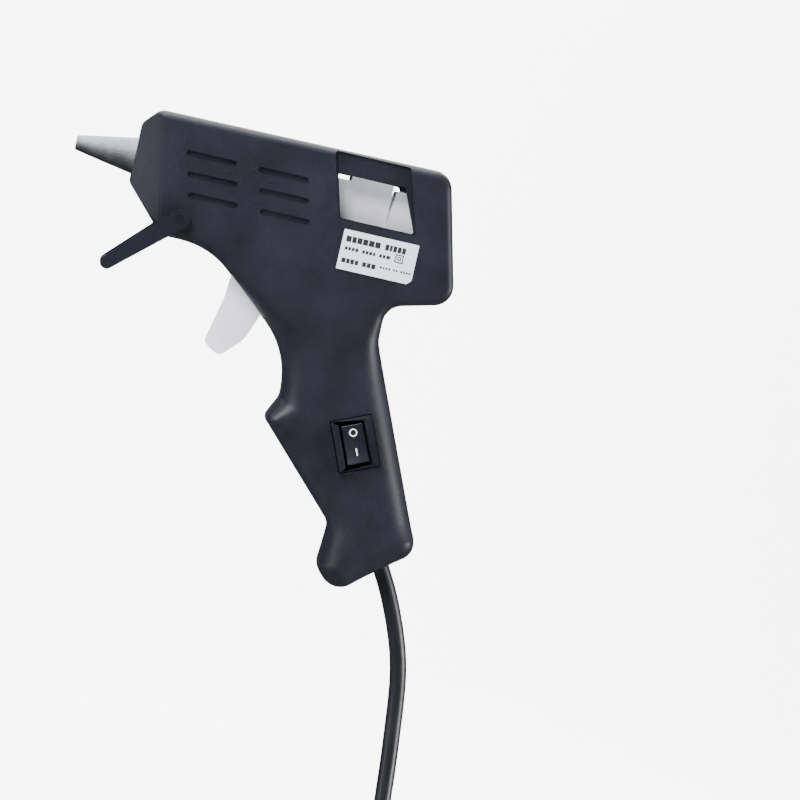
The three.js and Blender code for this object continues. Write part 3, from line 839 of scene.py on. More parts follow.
        def build(shape: bmesh.types.BMesh) -> None:
            """Fills in the rings and closes them at the parting plane and at the side.

            Args:
                shape: where the faces go.
            """
            angles = [math.pi / 2 * k / self.rings for k in range(self.rings + 1)]
            loops = [ring(shape, angle) for angle in (None, *angles)]
            for low, high in zip(loops, loops[1:], strict=False):
                band(shape, low, high)
            shape.faces.new(loops[0])
            shape.faces.new(loops[-1])

        return mesh_object(name, build)

    def vents(self, side: Side) -> list[bpy.types.Object]:
        """Cutters for the two columns of blind grooves on one side.

        Args:
            side: which half.

        Returns:
            The cutters.
        """
        cutters = []
        end = self.vent_height / 2 - 0.02
        outer = side.value * (HALF_WIDTH + self.overlap)
        inner = side.value * (HALF_WIDTH - self.vent_depth)
        for column in range(2):
            for row in range(3):
                x = self.vent_first[0] + self.vent_step[0] * column + self.vent_slant * row
                z = self.vent_first[1] - self.vent_step[1] * row
                low, high = z - self.vent_height / 2, z + self.vent_height / 2
                corners = [(x, low, end), (x + self.vent_length, low, end),
                           (x + self.vent_length, high, end), (x, high, end)]
                cutters.append(slab("vent", corners, min(outer, inner), max(outer, inner), 0.25))
        return cutters

    def nose_wedge(self, side: Side) -> bpy.types.Object:
        """The cutter that narrows the nose on one side.

        Args:
            side: which half.

        Returns:
            The cutter.
        """
        sign = side.value
        steps = 14
        knee_x, knee_y = self.nose_knee
        curve = []
        for k in range(steps + 1):
            t = k / steps
            first, middle, last = (1 - t) ** 2, 2 * t * (1 - t), t * t
            x = first * self.nose_end + middle * knee_x + last * (self.front - 1)
            y = first * HALF_WIDTH + middle * knee_y + last * self.nose_half
            curve.append((x, y))
        plan = [*self.wedge_outside, *curve, (self.wedge_outside[0][0], self.nose_half)]

        def build(shape: bmesh.types.BMesh) -> None:
            """Fills in the plan at two levels, each moved by the slant of the nose.

            Args:
                shape: where the faces go.
            """
            tan = math.tan(NOSE_SLANT)
            levels = []
            for z in (-self.wedge_half_height, self.wedge_half_height):
                levels.append([shape.verts.new((x - z * tan, sign * y, z)) for x, y in plan])
            closed_band(shape, *levels)

        return mesh_object("nose_wedge", build)

    def openings(self, side: Side) -> list[bpy.types.Object]:
        """Every cutter of one half.

        Args:
            side: which half.

        Returns:
            The cutters.
        """
        sign = side.value
        through = sorted((sign * self.past, -self.overlap * sign))
        shallow = sorted((sign * self.past, sign * (HALF_WIDTH - self.recess_depth)))
        slot = sorted((-self.overlap * sign, sign * self.trigger_slot_half))
        stand = sorted(sign * reach for reach in self.stand_hole_reach)
        cutters = [
            slab("window_opening", self.opening, *through),
            slab("window_recess", self.recess, *shallow),
            slab("trigger_slot", self.trigger_slot, *slot),
            turned_about_x("nose_hole", self.nose_hole, 64),
            turned_about_x("inlet_hole", self.inlet_hole, 64),
            self.cord_hole(),
            self.nose_wedge(side),
            *self.vents(side),
            rod_y("stand_hole", Stand.pivot, self.stand_hole_radius, *stand, 32),
        ]
        if side is Side.LEFT:
            recess = leaned_corners(box_corners(*self.switch_recess), GRIP_SWEEP, Switch.centre)
            cutters.append(slab("switch_recess", recess, -20, -HALF_WIDTH + self.switch_recess_depth))
        else:
            reach = (HALF_WIDTH - self.screw_recess_depth, HALF_WIDTH + self.overlap)
            for spot in self.screws:
                cutters.append(rod_y("screw_recess", spot, self.screw_recess_radius, *reach))
        return cutters

    def cord_hole(self) -> bpy.types.Object:
        """The cutter for the hole that the lead leaves by.

        Returns:
            The cutter.
        """
        direction = Vector((math.sin(EXIT_LEAN), 0, -math.cos(EXIT_LEAN)))
        side = Vector((0, 1, 0))
        across = direction.cross(side)
        middle = Vector((Lead.exit_at[0], 0, Lead.exit_at[1]))
        radius = Lead.diameter / 2 + self.cord_clearance
        reach, sides = 14, 40

        def build(shape: bmesh.types.BMesh) -> None:
            """Fills in a round rod along the way out.

            Args:
                shape: where the faces go.
            """
            angles = [WHOLE_TURN * k / sides for k in range(sides)]
            rings = []
            for end in (middle - direction * reach, middle + direction * reach):
                rings.append([shape.verts.new(end + radius * (side * math.cos(a) + across * math.sin(a)))
                              for a in angles])
            closed_band(shape, *rings)

        return mesh_object("cord_hole", build)

    def bosses(self, side: Side) -> list[bpy.types.Object]:
        """The screw posts of one half, from its wall to the parting plane."""
        reach = sorted((side.value * PARTING / 2, side.value * (HALF_WIDTH - self.overlap)))
        return [rod_y("boss", spot, self.boss_radius, *reach, 32) for spot in self.screws]

    def build(self) -> list[bpy.types.Object]:
        """Makes both halves.

        Returns:
            Both halves, dressed and riding on the casing.
        """
        made = []
        for side, node in ((Side.LEFT, "casing_left"), (Side.RIGHT, "casing_right")):
            half = self.shell_solid(f"{node}_moulding", side, 0.0)
            cavity = self.shell_solid("cavity", side, WALL)
            front, back, half_width = self.solid_nose
            nose = [(front, -self.past, 0), (back, -self.past, 0), (back, self.past, 0),
                    (front, self.past, 0)]
            carve(cavity, [slab("solid_nose", nose, -half_width, half_width)])
            carve(half, [cavity])
            carve(half, self.bosses(side), Joining.ADD)
            carve(half, self.openings(side))
            shade(half, self.crease_angle)
            made.append(finish_piece(half, self.finishes, "black_plastic", Body.CASING, [node]))
        return made


# ---------------------------------------------------------------- nozzle


@dataclass
class Nozzle:
    """The cast aluminium nozzle."""

    finishes: Finishes
    tip: float = -19.2
    tip_radius: float = 2.3
    base_radius: float = 5.7
    orifice: float = 0.9
    taper_from: float = -18.6
    taper_length: float = 17.4
    taper_power: float = 0.94
    seat: float = 2.5
    bore_radius: float = 3.0

    def build(self) -> list[bpy.types.Object]:
        """Makes the nozzle.

        Returns:
            The nozzle, dressed.
        """
        steps = 18
        growth = self.base_radius - 0.2 - self.tip_radius
        outside = [(self.taper_from + (self.taper_length * k / steps),
                    self.tip_radius + growth * (k / steps) ** self.taper_power) for k in range(steps + 1)]
        profile = [
            (self.tip, self.orifice), (self.tip, self.tip_radius - 0.6),
            (self.tip + 0.12, self.tip_radius - 0.28), (self.tip + 0.35, self.tip_radius - 0.06),
            *outside, (-0.6, self.base_radius), (self.seat, self.base_radius),
            (self.seat, self.bore_radius), (-2, self.bore_radius), (self.tip + 4, self.orifice),
        ]
        nozzle = turned_about_x("nozzle_casting", profile, 128)
        return [finish_piece(nozzle, self.finishes, "aluminium", Body.CASING, ["nozzle"])]


# ---------------------------------------------------------------- trigger


@dataclass
class Feed:
    """The trigger, with the fork that pushes the carriage."""

    finishes: Finishes
    pivot: Point2 = (52, -26)
    half_width: float = 4.4
    fork_offset: Point2 = (3, 18)
    fork_half: float = 3.9
    slot_half: float = 1.9
    hub_radius: float = 4.4
    blade: tuple[Corner, ...] = (
        (35.9, -27, 2), (35.3, -36, 12), (32, -50.5, 2.2), (37.2, -53.6, 2.4), (43.6, -47, 9),
        (47.4, -37, 6), (55, -29.4, 1), (52, -24, 1), (42, -23, 3))

    def trigger(self) -> bpy.types.Object:
        """The trigger with its fork and hub.

        Returns:
            The trigger, dressed.
        """
        blade = slab("trigger_blade", self.blade, -self.half_width, self.half_width, 0.1)
        reach = math.hypot(*self.fork_offset)
        lean = math.atan2(*self.fork_offset)
        wide, top, inset = self.fork_half, reach + 1.5, self.half_width - 0.4
        fork = leaned_corners([(-wide, 0, 0), (wide, 0, 0), (wide, top, 1.2), (-wide, top, 1.2)],
                              -lean, self.pivot)
        hub = rod_y("hub", self.pivot, self.hub_radius, -self.half_width, self.half_width)
        carve(blade, [slab("arm", fork, -inset, inset), hub], Joining.ADD)
        bevelled(blade, 0.8)
        narrow, low, high = self.slot_half, reach - 2.4, reach + 8
        slot = leaned_corners([(-narrow, low, 1.6), (narrow, low, 1.6), (narrow, high, 0),
                               (-narrow, high, 0)], -lean, self.pivot)
        spring_seat = rod_y("seat", self.pivot, 5, 1.2, 5)
        carve(blade, [slab("slot", slot, -6, 6), spring_seat, rod_y("bore", self.pivot, 1.9, -10, 10)])
        blade.name = "trigger_moulding"
        shade(blade, 40)
        return finish_piece(blade, self.finishes, "white_plastic", Body.TRIGGER, ["trigger"])

    def build(self) -> list[bpy.types.Object]:
        """Every piece of the feed that is remade."""
        return [self.trigger()]


# ---------------------------------------------------------------- switch


@dataclass
class Switch:
    """The rocker switch: a frame with two guarding wings, and the rocker with its marks."""

    finishes: Finishes
    centre: Point2 = (83.0, -70.0)
    frame_half: tuple[float, float] = (6.2, 7.9)
    well_half: tuple[float, float] = (3.8, 6.8)
    rocker_half: tuple[float, float] = (3.4, 6.0)
    rocker_rise: tuple[float, float, float] = (13.8, 13.6, 15.5)
    frame_back: float = 4.8
    well_floor: float = 8.5
    wing_top: float = 15.3
    wing_slope: Point2 = (2.1, 1.5)
    mark_lift: float = 0.06
    mark_sink: float = -0.1
    off_mark_at: float = 3.5
    on_mark_at: float = -2.4
    mark_sides: int = 40

    def at(self, across: float, along: float, out: float) -> tuple[float, float, float]:
        """A drawing point from the switch's own directions.

        Args:
            across: distance from its middle towards the rear.
            along: distance from its middle towards the barrel.
            out: distance from the parting plane.

        Returns:
            The point.
        """
        x, z = leaned_points([(across, along)], GRIP_SWEEP, self.centre)[0]
        return x, -out, z

    def surface(self, along: float) -> float:
        """How far out the rocker's hollow face lies.

        Args:
            along: distance from its middle towards the barrel.

        Returns:
            The distance from the parting plane.
        """
        top, middle, bottom = self.rocker_rise
        t = (self.rocker_half[1] - along) / (2 * self.rocker_half[1])
        return (1 - t) ** 2 * top + 2 * t * (1 - t) * middle + t * t * bottom

    def frame(self) -> bpy.types.Object:
        """The frame and its wings.

        Returns:
            The frame, dressed.
        """
        def leaned(corners: Sequence[Corner]) -> list[Corner]:
            """Corners in the switch's own directions, in place on the grip."""
            return leaned_corners(corners, GRIP_SWEEP, self.centre)

        wide, long = self.frame_half
        inner, end = wide - self.wing_slope[0], long - self.wing_slope[1]
        body = slab("switch_frame", leaned(box_corners(wide, long, 0.5)),
                    -HALF_WIDTH - 0.2, -self.frame_back)
        for sign in (-1, 1):
            wing = [(sign * wide, -long, 0.0), (sign * inner, -end, 0.0),
                    (sign * inner, end, 0.0), (sign * wide, long, 0.0)]
            carve(body, [slab("wing", leaned(wing), -self.wing_top, -HALF_WIDTH)], Joining.ADD)
        carve(body, [slab("well", leaned(box_corners(*self.well_half, 0.2)), -20, -self.well_floor)])
        bevelled(body, 0.3)
        return finish_piece(body, self.finishes, "black_gloss", Body.CASING, ["switch_body"])

    def rocker(self) -> bpy.types.Object:
        """The rocker, lying with its upper end pressed in.

        Returns:
            The rocker, dressed.
        """
        half, end = self.rocker_half
        steps = 16
        alongs = [end - 2 * end * k / steps for k in range(steps + 1)]
        profile = [(a, self.surface(a)) for a in alongs] + [(-end + 1.4, 11.3), (end - 1.2, 10.3)]

        def build(shape: bmesh.types.BMesh) -> None:
            """Fills in the profile between the two sides.

            Args:
                shape: where the faces go.
            """
            near = [shape.verts.new(self.at(-half, a, out)) for a, out in profile]
            far = [shape.verts.new(self.at(half, a, out)) for a, out in profile]
            closed_band(shape, near, far)

        body = bevelled(mesh_object("switch_rocker_cap", build), 0.35, 4)
        return finish_piece(body, self.finishes, "black_gloss", Body.ROCKER, ["switch_rocker"])

    def mark(self, name: str, outline: Sequence[Point2], hole: Sequence[Point2]) -> bpy.types.Object:
        """A printed mark that follows the rocker's face.

        Args:
            name: the object's name.
            outline: its outer edge, as across and along.
            hole: its inner edge, with as many points.

        Returns:
            The object.
        """
        def build(shape: bmesh.types.BMesh) -> None:
            """Fills in the face of the mark and the walls round it.

            Args:
                shape: where the faces go.
            """
            loops = []
            lift, sink = self.mark_lift, self.mark_sink
            for edge, out in ((outline, lift), (hole, lift), (hole, sink), (outline, sink)):
                loops.append([shape.verts.new(self.at(u, a, self.surface(a) + out)) for u, a in edge])
            for i, loop in enumerate(loops):
                band(shape, loop, loops[(i + 1) % len(loops)])

        obj = mesh_object(name, build)
        obj.data.materials.append(self.finishes.mark_paint)
        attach(obj, Body.ROCKER.value)
        return obj

    def build(self) -> list[bpy.types.Object]:
        """Makes the frame, the rocker and its two marks.

        Returns:
            The whole switch.
        """
        def ring(radius: float) -> list[Point2]:
            """The round mark of a radius."""
            angles = [WHOLE_TURN * k / self.mark_sides for k in range(self.mark_sides)]
            return [(radius * math.cos(a), self.off_mark_at + radius * math.sin(a)) for a in angles]

        def bar(half_width: float, half_length: float) -> list[Point2]:
            """The straight mark of half a width and half a length."""
            low, high = self.on_mark_at - half_length, self.on_mark_at + half_length
            return [(-half_width, low), (half_width, low), (half_width, high), (-half_width, high)]

        return [self.frame(), self.rocker(), self.mark("switch_off_mark", ring(1.25), ring(0.85)),
                self.mark("switch_on_mark", bar(0.2, 1.1), bar(0.02, 0.9))]


# ---------------------------------------------------------------- label and screws


@dataclass
class Label:
    """The rating label, with bars in place of its print."""

    finishes: Finishes
    corner: Point2 = (65.3, -19.4)
    size: Point2 = (23.2, 12.2)
    clipped: float = 1.3
    face: float = HALF_WIDTH + 0.35
    ink: float = 0.03
    letter_gap: float = 0.28
    rows: tuple[tuple[float, float, float, tuple[float, ...]], ...] = (
        (1.1, 8.6, 1.8, (1.6, 1.3, 1.5, 1.5, 1.7, 1.6, -1.0, 1.1, 0.8, 1.1, 1.1, 1.1)),
        (1.3, 6.1, 1.0, (0.8, 0.8, 0.8, 0.9, -0.7, 0.8, 0.8, 0.9, 0.7, -0.7, 0.8, 0.8, 1.2)),
        (1.1, 2.2, 1.4, (1.2, 1.0, 1.1, 1.0, -0.7, 1.2, 1.1, 1.2)),
        (12.9, 2.9, 0.6, (0.7, 0.5, 0.6, 0.6, -0.4, 0.5, 0.5, -0.4, 0.6, 0.5, 0.6, 0.6)),
    )
    symbol: tuple[float, float, float] = (16.8, 5.6, 2.6)

    def bars(self) -> list[tuple[float, float, float, float]]:
        """Every printed bar.

        Returns:
            x, z, width and height of each bar, from the label's corner.
        """
        found = []
        for x, z, height, widths in self.rows:
            for width in widths:
                if width > 0:
                    found.append((x, z, width, height))
                x += abs(width) + self.letter_gap
        x, z, size = self.symbol
        for inset, line in ((0.0, 0.34), (0.75, 0.3)):
            left, low, length = x + inset, z + inset, size - 2 * inset
            found += [(left, low, length, line), (left, low + length - line, length, line),
                      (left, low, line, length), (left + length - line, low, line, length)]
        return found

    def build(self) -> list[bpy.types.Object]:
        """Makes the label and its print.

        Returns:
            The label and its print.
        """
        x0, z0 = self.corner
        wide, high = self.size
        corners = [(x0, z0, 0.2), (x0 + wide - self.clipped, z0, 0.1),
                   (x0 + wide, z0 + self.clipped, 0.1), (x0 + wide, z0 + high, 0.2), (x0, z0 + high, 0.2)]
        sheet = slab("label_sheet", corners, -self.face, -HALF_WIDTH - 0.02)
        finish_piece(sheet, self.finishes, "label_paper", Body.CASING, ["rating_label"])

        def build(shape: bmesh.types.BMesh) -> None:
            """Fills in a thin block for each bar.

            Args:
                shape: where the faces go.
            """
            for x, z, width, height in self.bars():
                left, low = x0 + x, z0 + z
                right, top = left + width, low + height
                prism(shape, [(left, low), (right, low), (right, top), (left, top)],
                      -self.face - self.ink, -self.face + 0.02)

        print_bars = mesh_object("label_print", build)
        print_bars.data.materials.append(self.finishes.print_ink)
        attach(print_bars, Body.CASING.value)
        return [sheet, print_bars]


@dataclass
class Screws:
    """The casing screws, placed by Geometry Nodes on one point each."""

    finishes: Finishes
    spots: tuple[Point2, ...]
    head_radius: float = 2.5
    head_height: float = 1.6
    under_head: float = 8.65
    shank_radius: float = 1.3
    shank_end: float = -9.0
    sides: int = 40
    cross: tuple[float, float] = (3.0, 0.7)
    cross_depth: float = 1.8

    def tree(self) -> bpy.types.NodeTree:
        """Builds the node tree that puts a screw on every point of a mesh.

        Returns:
            The node tree.
        """
        tree = bpy.data.node_groups.new("screws_on_points", "GeometryNodeTree")
        tree.interface.new_socket("Geometry", in_out="INPUT", socket_type="NodeSocketGeometry")
        sizes = {
            "Head Radius": self.head_radius,
            "Head Height": self.head_height,
            "Head Centre": self.under_head + self.head_height / 2,
            "Shank Radius": self.shank_radius,
            "Shank Length": self.under_head - self.shank_end,
            "Shank Centre": (self.under_head + self.shank_end) / 2,
            "Cross Centre": self.under_head + self.head_height,
        }
        for name, size in sizes.items():
            socket = tree.interface.new_socket(name, in_out="INPUT", socket_type="NodeSocketFloat")
            socket.default_value = size * MM
        tree.interface.new_socket("Geometry", in_out="OUTPUT", socket_type="NodeSocketGeometry")
        entry, exit_ = tree.nodes.new("NodeGroupInput"), tree.nodes.new("NodeGroupOutput")

        def moved(shape: Socket, height: str) -> Node:
            """Moves a shape along Y.

            Args:
                shape: the shape.
                height: the name of the input that says how far.

            Returns:
                The node that moves it.
            """
            offset = tree.nodes.new("ShaderNodeCombineXYZ")
            tree.links.new(entry.outputs[height], offset.inputs["Y"])
            move = tree.nodes.new("GeometryNodeTransform")
            tree.links.new(shape, move.inputs["Geometry"])
            tree.links.new(offset.outputs["Vector"], move.inputs["Translation"])
            return move

        def rod(radius: str, length: str, height: str) -> Socket:
            """A round rod along Y.

            Args:
                radius: the name of the input for its radius.
                length: the name of the input for its length.
                height: the name of the input for the place of its middle.

            Returns:
                The rod.
            """
            cylinder = tree.nodes.new("GeometryNodeMeshCylinder")
            cylinder.inputs["Vertices"].default_value = self.sides
            tree.links.new(entry.outputs[radius], cylinder.inputs["Radius"])
            tree.links.new(entry.outputs[length], cylinder.inputs["Depth"])
            move = moved(cylinder.outputs["Mesh"], height)
            move.inputs["Rotation"].default_value = (math.pi / 2, 0, 0)
            return move.outputs["Geometry"]

        head = rod("Head Radius", "Head Height", "Head Centre")
        cut = tree.nodes.new("GeometryNodeMeshBoolean")
        cut.operation = "DIFFERENCE"
        cut.solver = "EXACT"
        tree.links.new(head, cut.inputs["Mesh 1"])
        long, short = self.cross
        for width, depth in ((long, short), (short, long)):
            cube = tree.nodes.new("GeometryNodeMeshCube")
            cube.inputs["Size"].default_value = (width * MM, self.cross_depth * MM, depth * MM)
            raised = moved(cube.outputs["Mesh"], "Cross Centre")
            tree.links.new(raised.outputs["Geometry"], cut.inputs["Mesh 2"])
        join = tree.nodes.new("GeometryNodeJoinGeometry")
        tree.links.new(rod("Shank Radius", "Shank Length", "Shank Centre"), join.inputs["Geometry"])
        tree.links.new(cut.outputs["Mesh"], join.inputs["Geometry"])
        instance = tree.nodes.new("GeometryNodeInstanceOnPoints")
        tree.links.new(entry.outputs["Geometry"], instance.inputs["Points"])
        tree.links.new(join.outputs["Geometry"], instance.inputs["Instance"])
        realize = tree.nodes.new("GeometryNodeRealizeInstances")
        tree.links.new(instance.outputs["Instances"], realize.inputs["Geometry"])
        paint = tree.nodes.new("GeometryNodeSetMaterial")
        paint.inputs["Material"].default_value = self.finishes.by_slot["steel"]
        tree.links.new(realize.outputs["Geometry"], paint.inputs["Geometry"])
        tree.links.new(paint.outputs["Geometry"], exit_.inputs["Geometry"])
        return tree

    def build(self) -> list[bpy.types.Object]:
        """Makes all the screws as one plain mesh.

        Returns:
            The screws, dressed.
        """
        mesh = bpy.data.meshes.new("screw_points")
        mesh.from_pydata([place(x, 0, z) for x, z in self.spots], [], [])
        obj = new_object("case_screws", mesh)
        obj.modifiers.new("screws", "NODES").node_group = self.tree()
        apply_modifiers(obj)
        shade(obj, 40)
        nodes = [f"case_screw_{i + 1}" for i in range(len(self.spots))]
        return [finish_piece(obj, self.finishes, "steel", Body.CASING, nodes)]


# ---------------------------------------------------------------- stand


@dataclass
class Stand:
    """The two arms of the fold-out stand. The foot bar stays as it is in the frame."""

    finishes: Finishes
    pivot: Point2 = (16.2, -15.6)
    tip: Point2 = (-2.4, -33.2)
    arm: float = 2.4
    gap: float = 0.4
    hub: float = 3.1
    hub_end_half: float = 2.9
    tip_half: float = 1.9
    past_tip: float = 1.6
    dimple_radius: float = 1.3
    dimple_depth: float = 0.25

    def arm_piece(self, side: Side) -> bpy.types.Object:
        """One arm with its hub, tapered to a round end.

        Args:
            side: which arm.

        Returns:
            The arm, dressed.
        """
        dx, dz = self.tip[0] - self.pivot[0], self.tip[1] - self.pivot[1]
        length, lean = math.hypot(dx, dz), math.atan2(dx, -dz)
        inner = side.value * (HALF_WIDTH + self.gap)
        y0, y1 = sorted((inner, inner + side.value * self.arm))
        wide, narrow, low = self.hub_end_half, self.tip_half, -length - self.past_tip
        corners = leaned_corners([(-wide, 0, 0), (wide, 0, 0), (narrow, low, 1.7), (-narrow, low, 1.7)],
                                 lean, self.pivot)
        name = f"stand_arm_{side.name.lower()}"
        piece = slab(name + "_moulding", corners, y0, y1, 0.1)
        carve(piece, [rod_y("hub", self.pivot, self.hub, y0, y1)], Joining.ADD)
        bevelled(piece, 0.9, 5)
        face = inner + side.value * self.arm
        reach = sorted((face - side.value * self.dimple_depth, face + side.value))
        carve(piece, [rod_y("dimple", self.pivot, self.dimple_radius, *reach)])
        shade(piece, 40)
        return finish_piece(piece, self.finishes, "black_gloss", Body.STAND, [name])

    def build(self) -> list[bpy.types.Object]:
        """Both arms."""
        return [self.arm_piece(side) for side in Side]


# ---------------------------------------------------------------- lead


@dataclass
class Lead:
    """The mains lead: its free stretch, its coil and its tail, which ends in the plug."""

    finishes: Finishes
    diameter: float = 5.3
    exit_at: Point2 = (100.9, -106.9)
    coil_centre: Point2 = (86, -224)
    turn_radius: float = 29.0
    layer: float = 2.75
    lay: float = 5.45
    tail_at: float = 11.15
    per_turn: int = 30
    shift: float = 0.3
    fall: tuple[Corner, ...] = (
        (104.1, 0, -112.6), (107, 0, -118.8), (109.6, 0, -125.2), (111.8, 0, -131.8),
        (113.4, 0, -138.8), (114.4, -0.2, -146), (115.2, -0.8, -154), (116, -1.8, -163),
        (116.6, -3, -172), (117.1, -4.2, -181), (117.4, -5, -190), (117.7, -5.4, -199),
        (117.75, -5.45, -208), (117.75, -5.45, -217))
    tail_drops: tuple[float, ...] = (6, 13, 20, 28, 36, 46)

    def along_exit(self, distance: float) -> tuple[float, float, float]:
        """A point on the hole's axis, so far outside the exit."""
        return (self.exit_at[0] + distance * math.sin(EXIT_LEAN), 0.0,
                self.exit_at[1] - distance * math.cos(EXIT_LEAN))

    def route(self) -> list[tuple[float, float, float]]:
        """The way of the whole lead, from inside the grip to inside the plug.

        Returns:
            Its points, in order.
        """
        outer, inner = self.turn_radius + self.layer, self.turn_radius - self.layer
        lay = self.lay
        free = [self.along_exit(-11), self.along_exit(-5), self.along_exit(0), *self.fall]
        turns = [(outer, -lay), (inner, -lay), (inner, 0.0), (outer, 0.0), (outer, lay), (inner, lay)]
        last = len(turns) - 1
        wound = []
        for k in range(len(turns) * self.per_turn + 1):
            turn, part = divmod(k / self.per_turn, 1)
            here = turns[min(int(turn), last)]
            after = turns[min(int(turn) + 1, last)]
            blend = max(0.0, (part - (1 - self.shift)) / self.shift)
            blend = blend * blend * (3 - 2 * blend)
            radius = here[0] + (after[0] - here[0]) * blend
            y = here[1] + (after[1] - here[1]) * blend
            if turn >= last:
                share = min(1.0, max(0.0, (part - 0.55) / 0.4)) if turn == last else 1.0
                y += (self.tail_at - lay) * share
            angle = -WHOLE_TURN * part
            wound.append((self.coil_centre[0] + radius * math.cos(angle), y,
                          self.coil_centre[1] + radius * math.sin(angle)))
        end_x = self.coil_centre[0] + inner
        tail = [(end_x, self.tail_at, self.coil_centre[1] - drop) for drop in self.tail_drops]
        return free + wound + tail

    def cord(self) -> tuple[bpy.types.Object, float]:
        """The lead as one curve with a round section.

        Returns:
            The curve object and its length in metres.
        """
        points = [place(*p) for p in self.route()]
        curve = bpy.data.curves.new("mains_lead", "CURVE")
        curve.dimensions = "3D"
        curve.resolution_u = 3
        curve.bevel_depth = self.diameter / 2 * MM
        curve.bevel_resolution = 5
        curve.use_fill_caps = True
        spline = curve.splines.new("POLY")
        smooth = self.smoothed(points)
        spline.points.add(len(smooth) - 1)
        for target, point in zip(spline.points, smooth, strict=True):
            target.co = (*point, 1.0)
        obj = new_object("mains_lead", curve)
        length = sum((b - a).length for a, b in zip(smooth, smooth[1:], strict=False))
        return obj, length

    def smoothed(self, points: Sequence[Vector]) -> list[Vector]:
        """A finer line through the points, by Catmull-Rom.

        Args:
            points: the points that the line goes through.

        Returns:
            The points of the finer line.
        """
        fine: list[Vector] = []
        ends = [points[0] * 2 - points[1], *points, points[-1] * 2 - points[-2]]
        for a, b, c, d in zip(ends, ends[1:], ends[2:], ends[3:], strict=False):
            steps = max(2, math.ceil((c - b).length / (3.0 * MM)))
            for k in range(steps):
                t = k / steps
                fine.append(0.5 * (2 * b + (c - a) * t + (2 * a - 5 * b + 4 * c - d) * t * t
                                   + (3 * b - 3 * c + d - a) * t ** 3))
        fine.append(points[-1])
        return fine

    def build(self, nodes: dict[str, bpy.types.Object]) -> list[bpy.types.Object]:
        """Makes the lead, hides the CAD pieces of the cord and logs its length.

        Args:
            nodes: the CAD nodes by name; not used.

        Returns:
            The lead.
        """
        lead, length = self.cord()
        lead.data.materials.append(self.finishes.by_slot["cord_rubber"])
        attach(lead, Body.CASING.value)
        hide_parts("cord", "cord_coil", "cord_tail")
        LOG.info("the lead is %.3f m long", length)
        return [lead]


# ---------------------------------------------------------------- studio


@dataclass(frozen=True)
class Lamp:
    """A soft square lamp. Places and sizes are in metres, power in watts."""

    name: str
    at: tuple[float, float, float]
    size: float
    power: float
    towards: tuple[float, float, float] = (0.0, 0.0, 0.0)


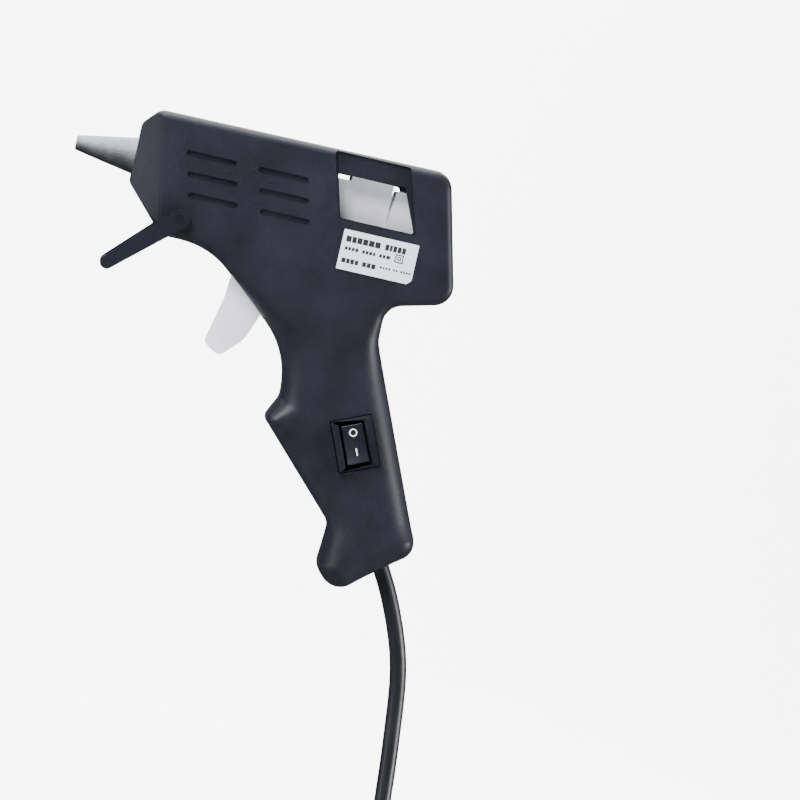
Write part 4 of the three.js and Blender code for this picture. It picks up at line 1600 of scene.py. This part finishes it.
@dataclass
class Studio:
    """Camera, lamps, floor and backdrop."""

    view_width: float = 242.4
    distance: float = 1100.0
    roll: float = math.radians(13)
    azimuth: float = math.radians(5.6)
    elevation: float = math.radians(2.4)
    aim: Corner = (93.3, -HALF_WIDTH, -54.0)
    floor_gap: float = 0.002
    bend: float = 0.6
    half_width: float = 6.0
    back: float = 2.2
    front: float = -6.0
    height: float = 5.0
    surround: float = 0.08
    lamps: tuple[Lamp, ...] = (
        Lamp("top", (-0.1, -0.25, 1.3), 0.6, 22),
        Lamp("front", (-0.95, -1.1, 1.25), 0.6, 52),
        Lamp("left", (-1.2, -0.5, 0.0), 0.35, 4),
        Lamp("right", (1.2, -0.35, 0.1), 0.35, 18),
        Lamp("wall", (0, 0.9, 1.3), 1.5, 230, (0, 2.2, 0.0)),
    )

    def camera(self) -> None:
        """The camera, a little behind and above the gun's left side, rolled so that the nozzle rises."""
        data = bpy.data.cameras.new("camera")
        data.sensor_width = 36
        data.lens = 36 * self.distance / self.view_width
        data.clip_end = 20
        camera = new_object("camera", data)
        level_reach = math.cos(self.elevation)
        forward = Vector((math.sin(self.azimuth) * level_reach, math.cos(self.azimuth) * level_reach,
                          -math.sin(self.elevation)))
        level = forward.cross(Vector((0, 0, 1))).normalized()
        upright = level.cross(forward)
        right = level * math.cos(self.roll) + upright * math.sin(self.roll)
        up = upright * math.cos(self.roll) - level * math.sin(self.roll)
        turn = Matrix((right, up, -forward)).transposed().to_4x4()
        camera.matrix_world = Matrix.Translation(place(*self.aim) - forward * self.distance * MM) @ turn
        bpy.context.scene.camera = camera

    def light(self, lamp: Lamp) -> None:
        """Hangs one lamp.

        Args:
            lamp: where it is, what it points at and how strong it is.
        """
        data = bpy.data.lights.new(lamp.name, "AREA")
        data.shape = "SQUARE"
        data.size = lamp.size
        data.energy = lamp.power
        obj = new_object(lamp.name, data)
        obj.location = lamp.at
        obj.rotation_euler = (Vector(lamp.towards) - Vector(lamp.at)).to_track_quat("-Z", "Y").to_euler()

    def backdrop(self, floor: float) -> None:
        """A pale floor that curves up into a wall behind the gun.

        Args:
            floor: height of the floor, in metres.
        """
        mesh = bpy.data.meshes.new("backdrop")
        shape = bmesh.new()
        half, steps = self.half_width, 12
        profile = [(self.front, floor), (self.back - self.bend, floor)]
        for k in range(1, steps + 1):
            angle = math.pi / 2 * k / steps
            profile.append((self.back - self.bend + self.bend * math.sin(angle),
                            floor + self.bend * (1 - math.cos(angle))))
        profile.append((self.back, floor + self.height))
        for (y0, z0), (y1, z1) in zip(profile, profile[1:], strict=False):
            corners = [(-half, y0, z0), (half, y0, z0), (half, y1, z1), (-half, y1, z1)]
            shape.faces.new([shape.verts.new(corner) for corner in corners])
        bmesh.ops.remove_doubles(shape, verts=shape.verts, dist=1e-6)
        bmesh.ops.recalc_face_normals(shape, faces=shape.faces)
        shape.to_mesh(mesh)
        shape.free()
        obj = new_object("backdrop", mesh)
        obj.data.shade_smooth()
        tree = Tree("backdrop_paper")
        tree.set(Base_Color=(0.93, 0.93, 0.935, 1.0), Roughness=0.9, Specular_IOR_Level=0.1)
        obj.data.materials.append(tree.material)
        obj.visible_glossy = False
        obj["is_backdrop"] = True

    def world(self) -> None:
        """An even white surround."""
        world = bpy.data.worlds.new("surround")
        bpy.context.scene.world = world
        world.use_nodes = True
        background = world.node_tree.nodes["Background"]
        background.inputs["Color"].default_value = (1.0, 1.0, 1.0, 1.0)
        background.inputs["Strength"].default_value = self.surround

    def build(self, lowest: float) -> None:
        """Everything but the gun and the camera.

        Args:
            lowest: height of the gun's lowest point, in metres.
        """
        self.world()
        self.backdrop(lowest - self.floor_gap)
        for lamp in self.lamps:
            self.light(lamp)


def main() -> None:
    """Builds the gun round its frame."""
    logging.basicConfig(level=logging.INFO, format="%(name)s: %(message)s")
    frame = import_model()
    cad_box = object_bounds()
    nodes = frame["nodes"]
    finishes = Finishes()
    studio = Studio()
    studio.camera()
    made = [
        *Lead(finishes).build(nodes), *Casing(finishes).build(), *Nozzle(finishes).build(),
        *Feed(finishes).build(), *Switch(finishes).build(), *Label(finishes).build(),
        *Screws(finishes, Casing.screws).build(), *Stand(finishes).build(),
    ]
    for piece in made:
        LOG.info("made %s", piece.name)
    slots = {part["node"]: part["material_slot"] for part in frame["record"]["subparts"]}
    for name, node in nodes.items():
        finishes.dress(node, slots[name])
    studio.build(cad_box[0][2])


if __name__ == "__main__":
    main()
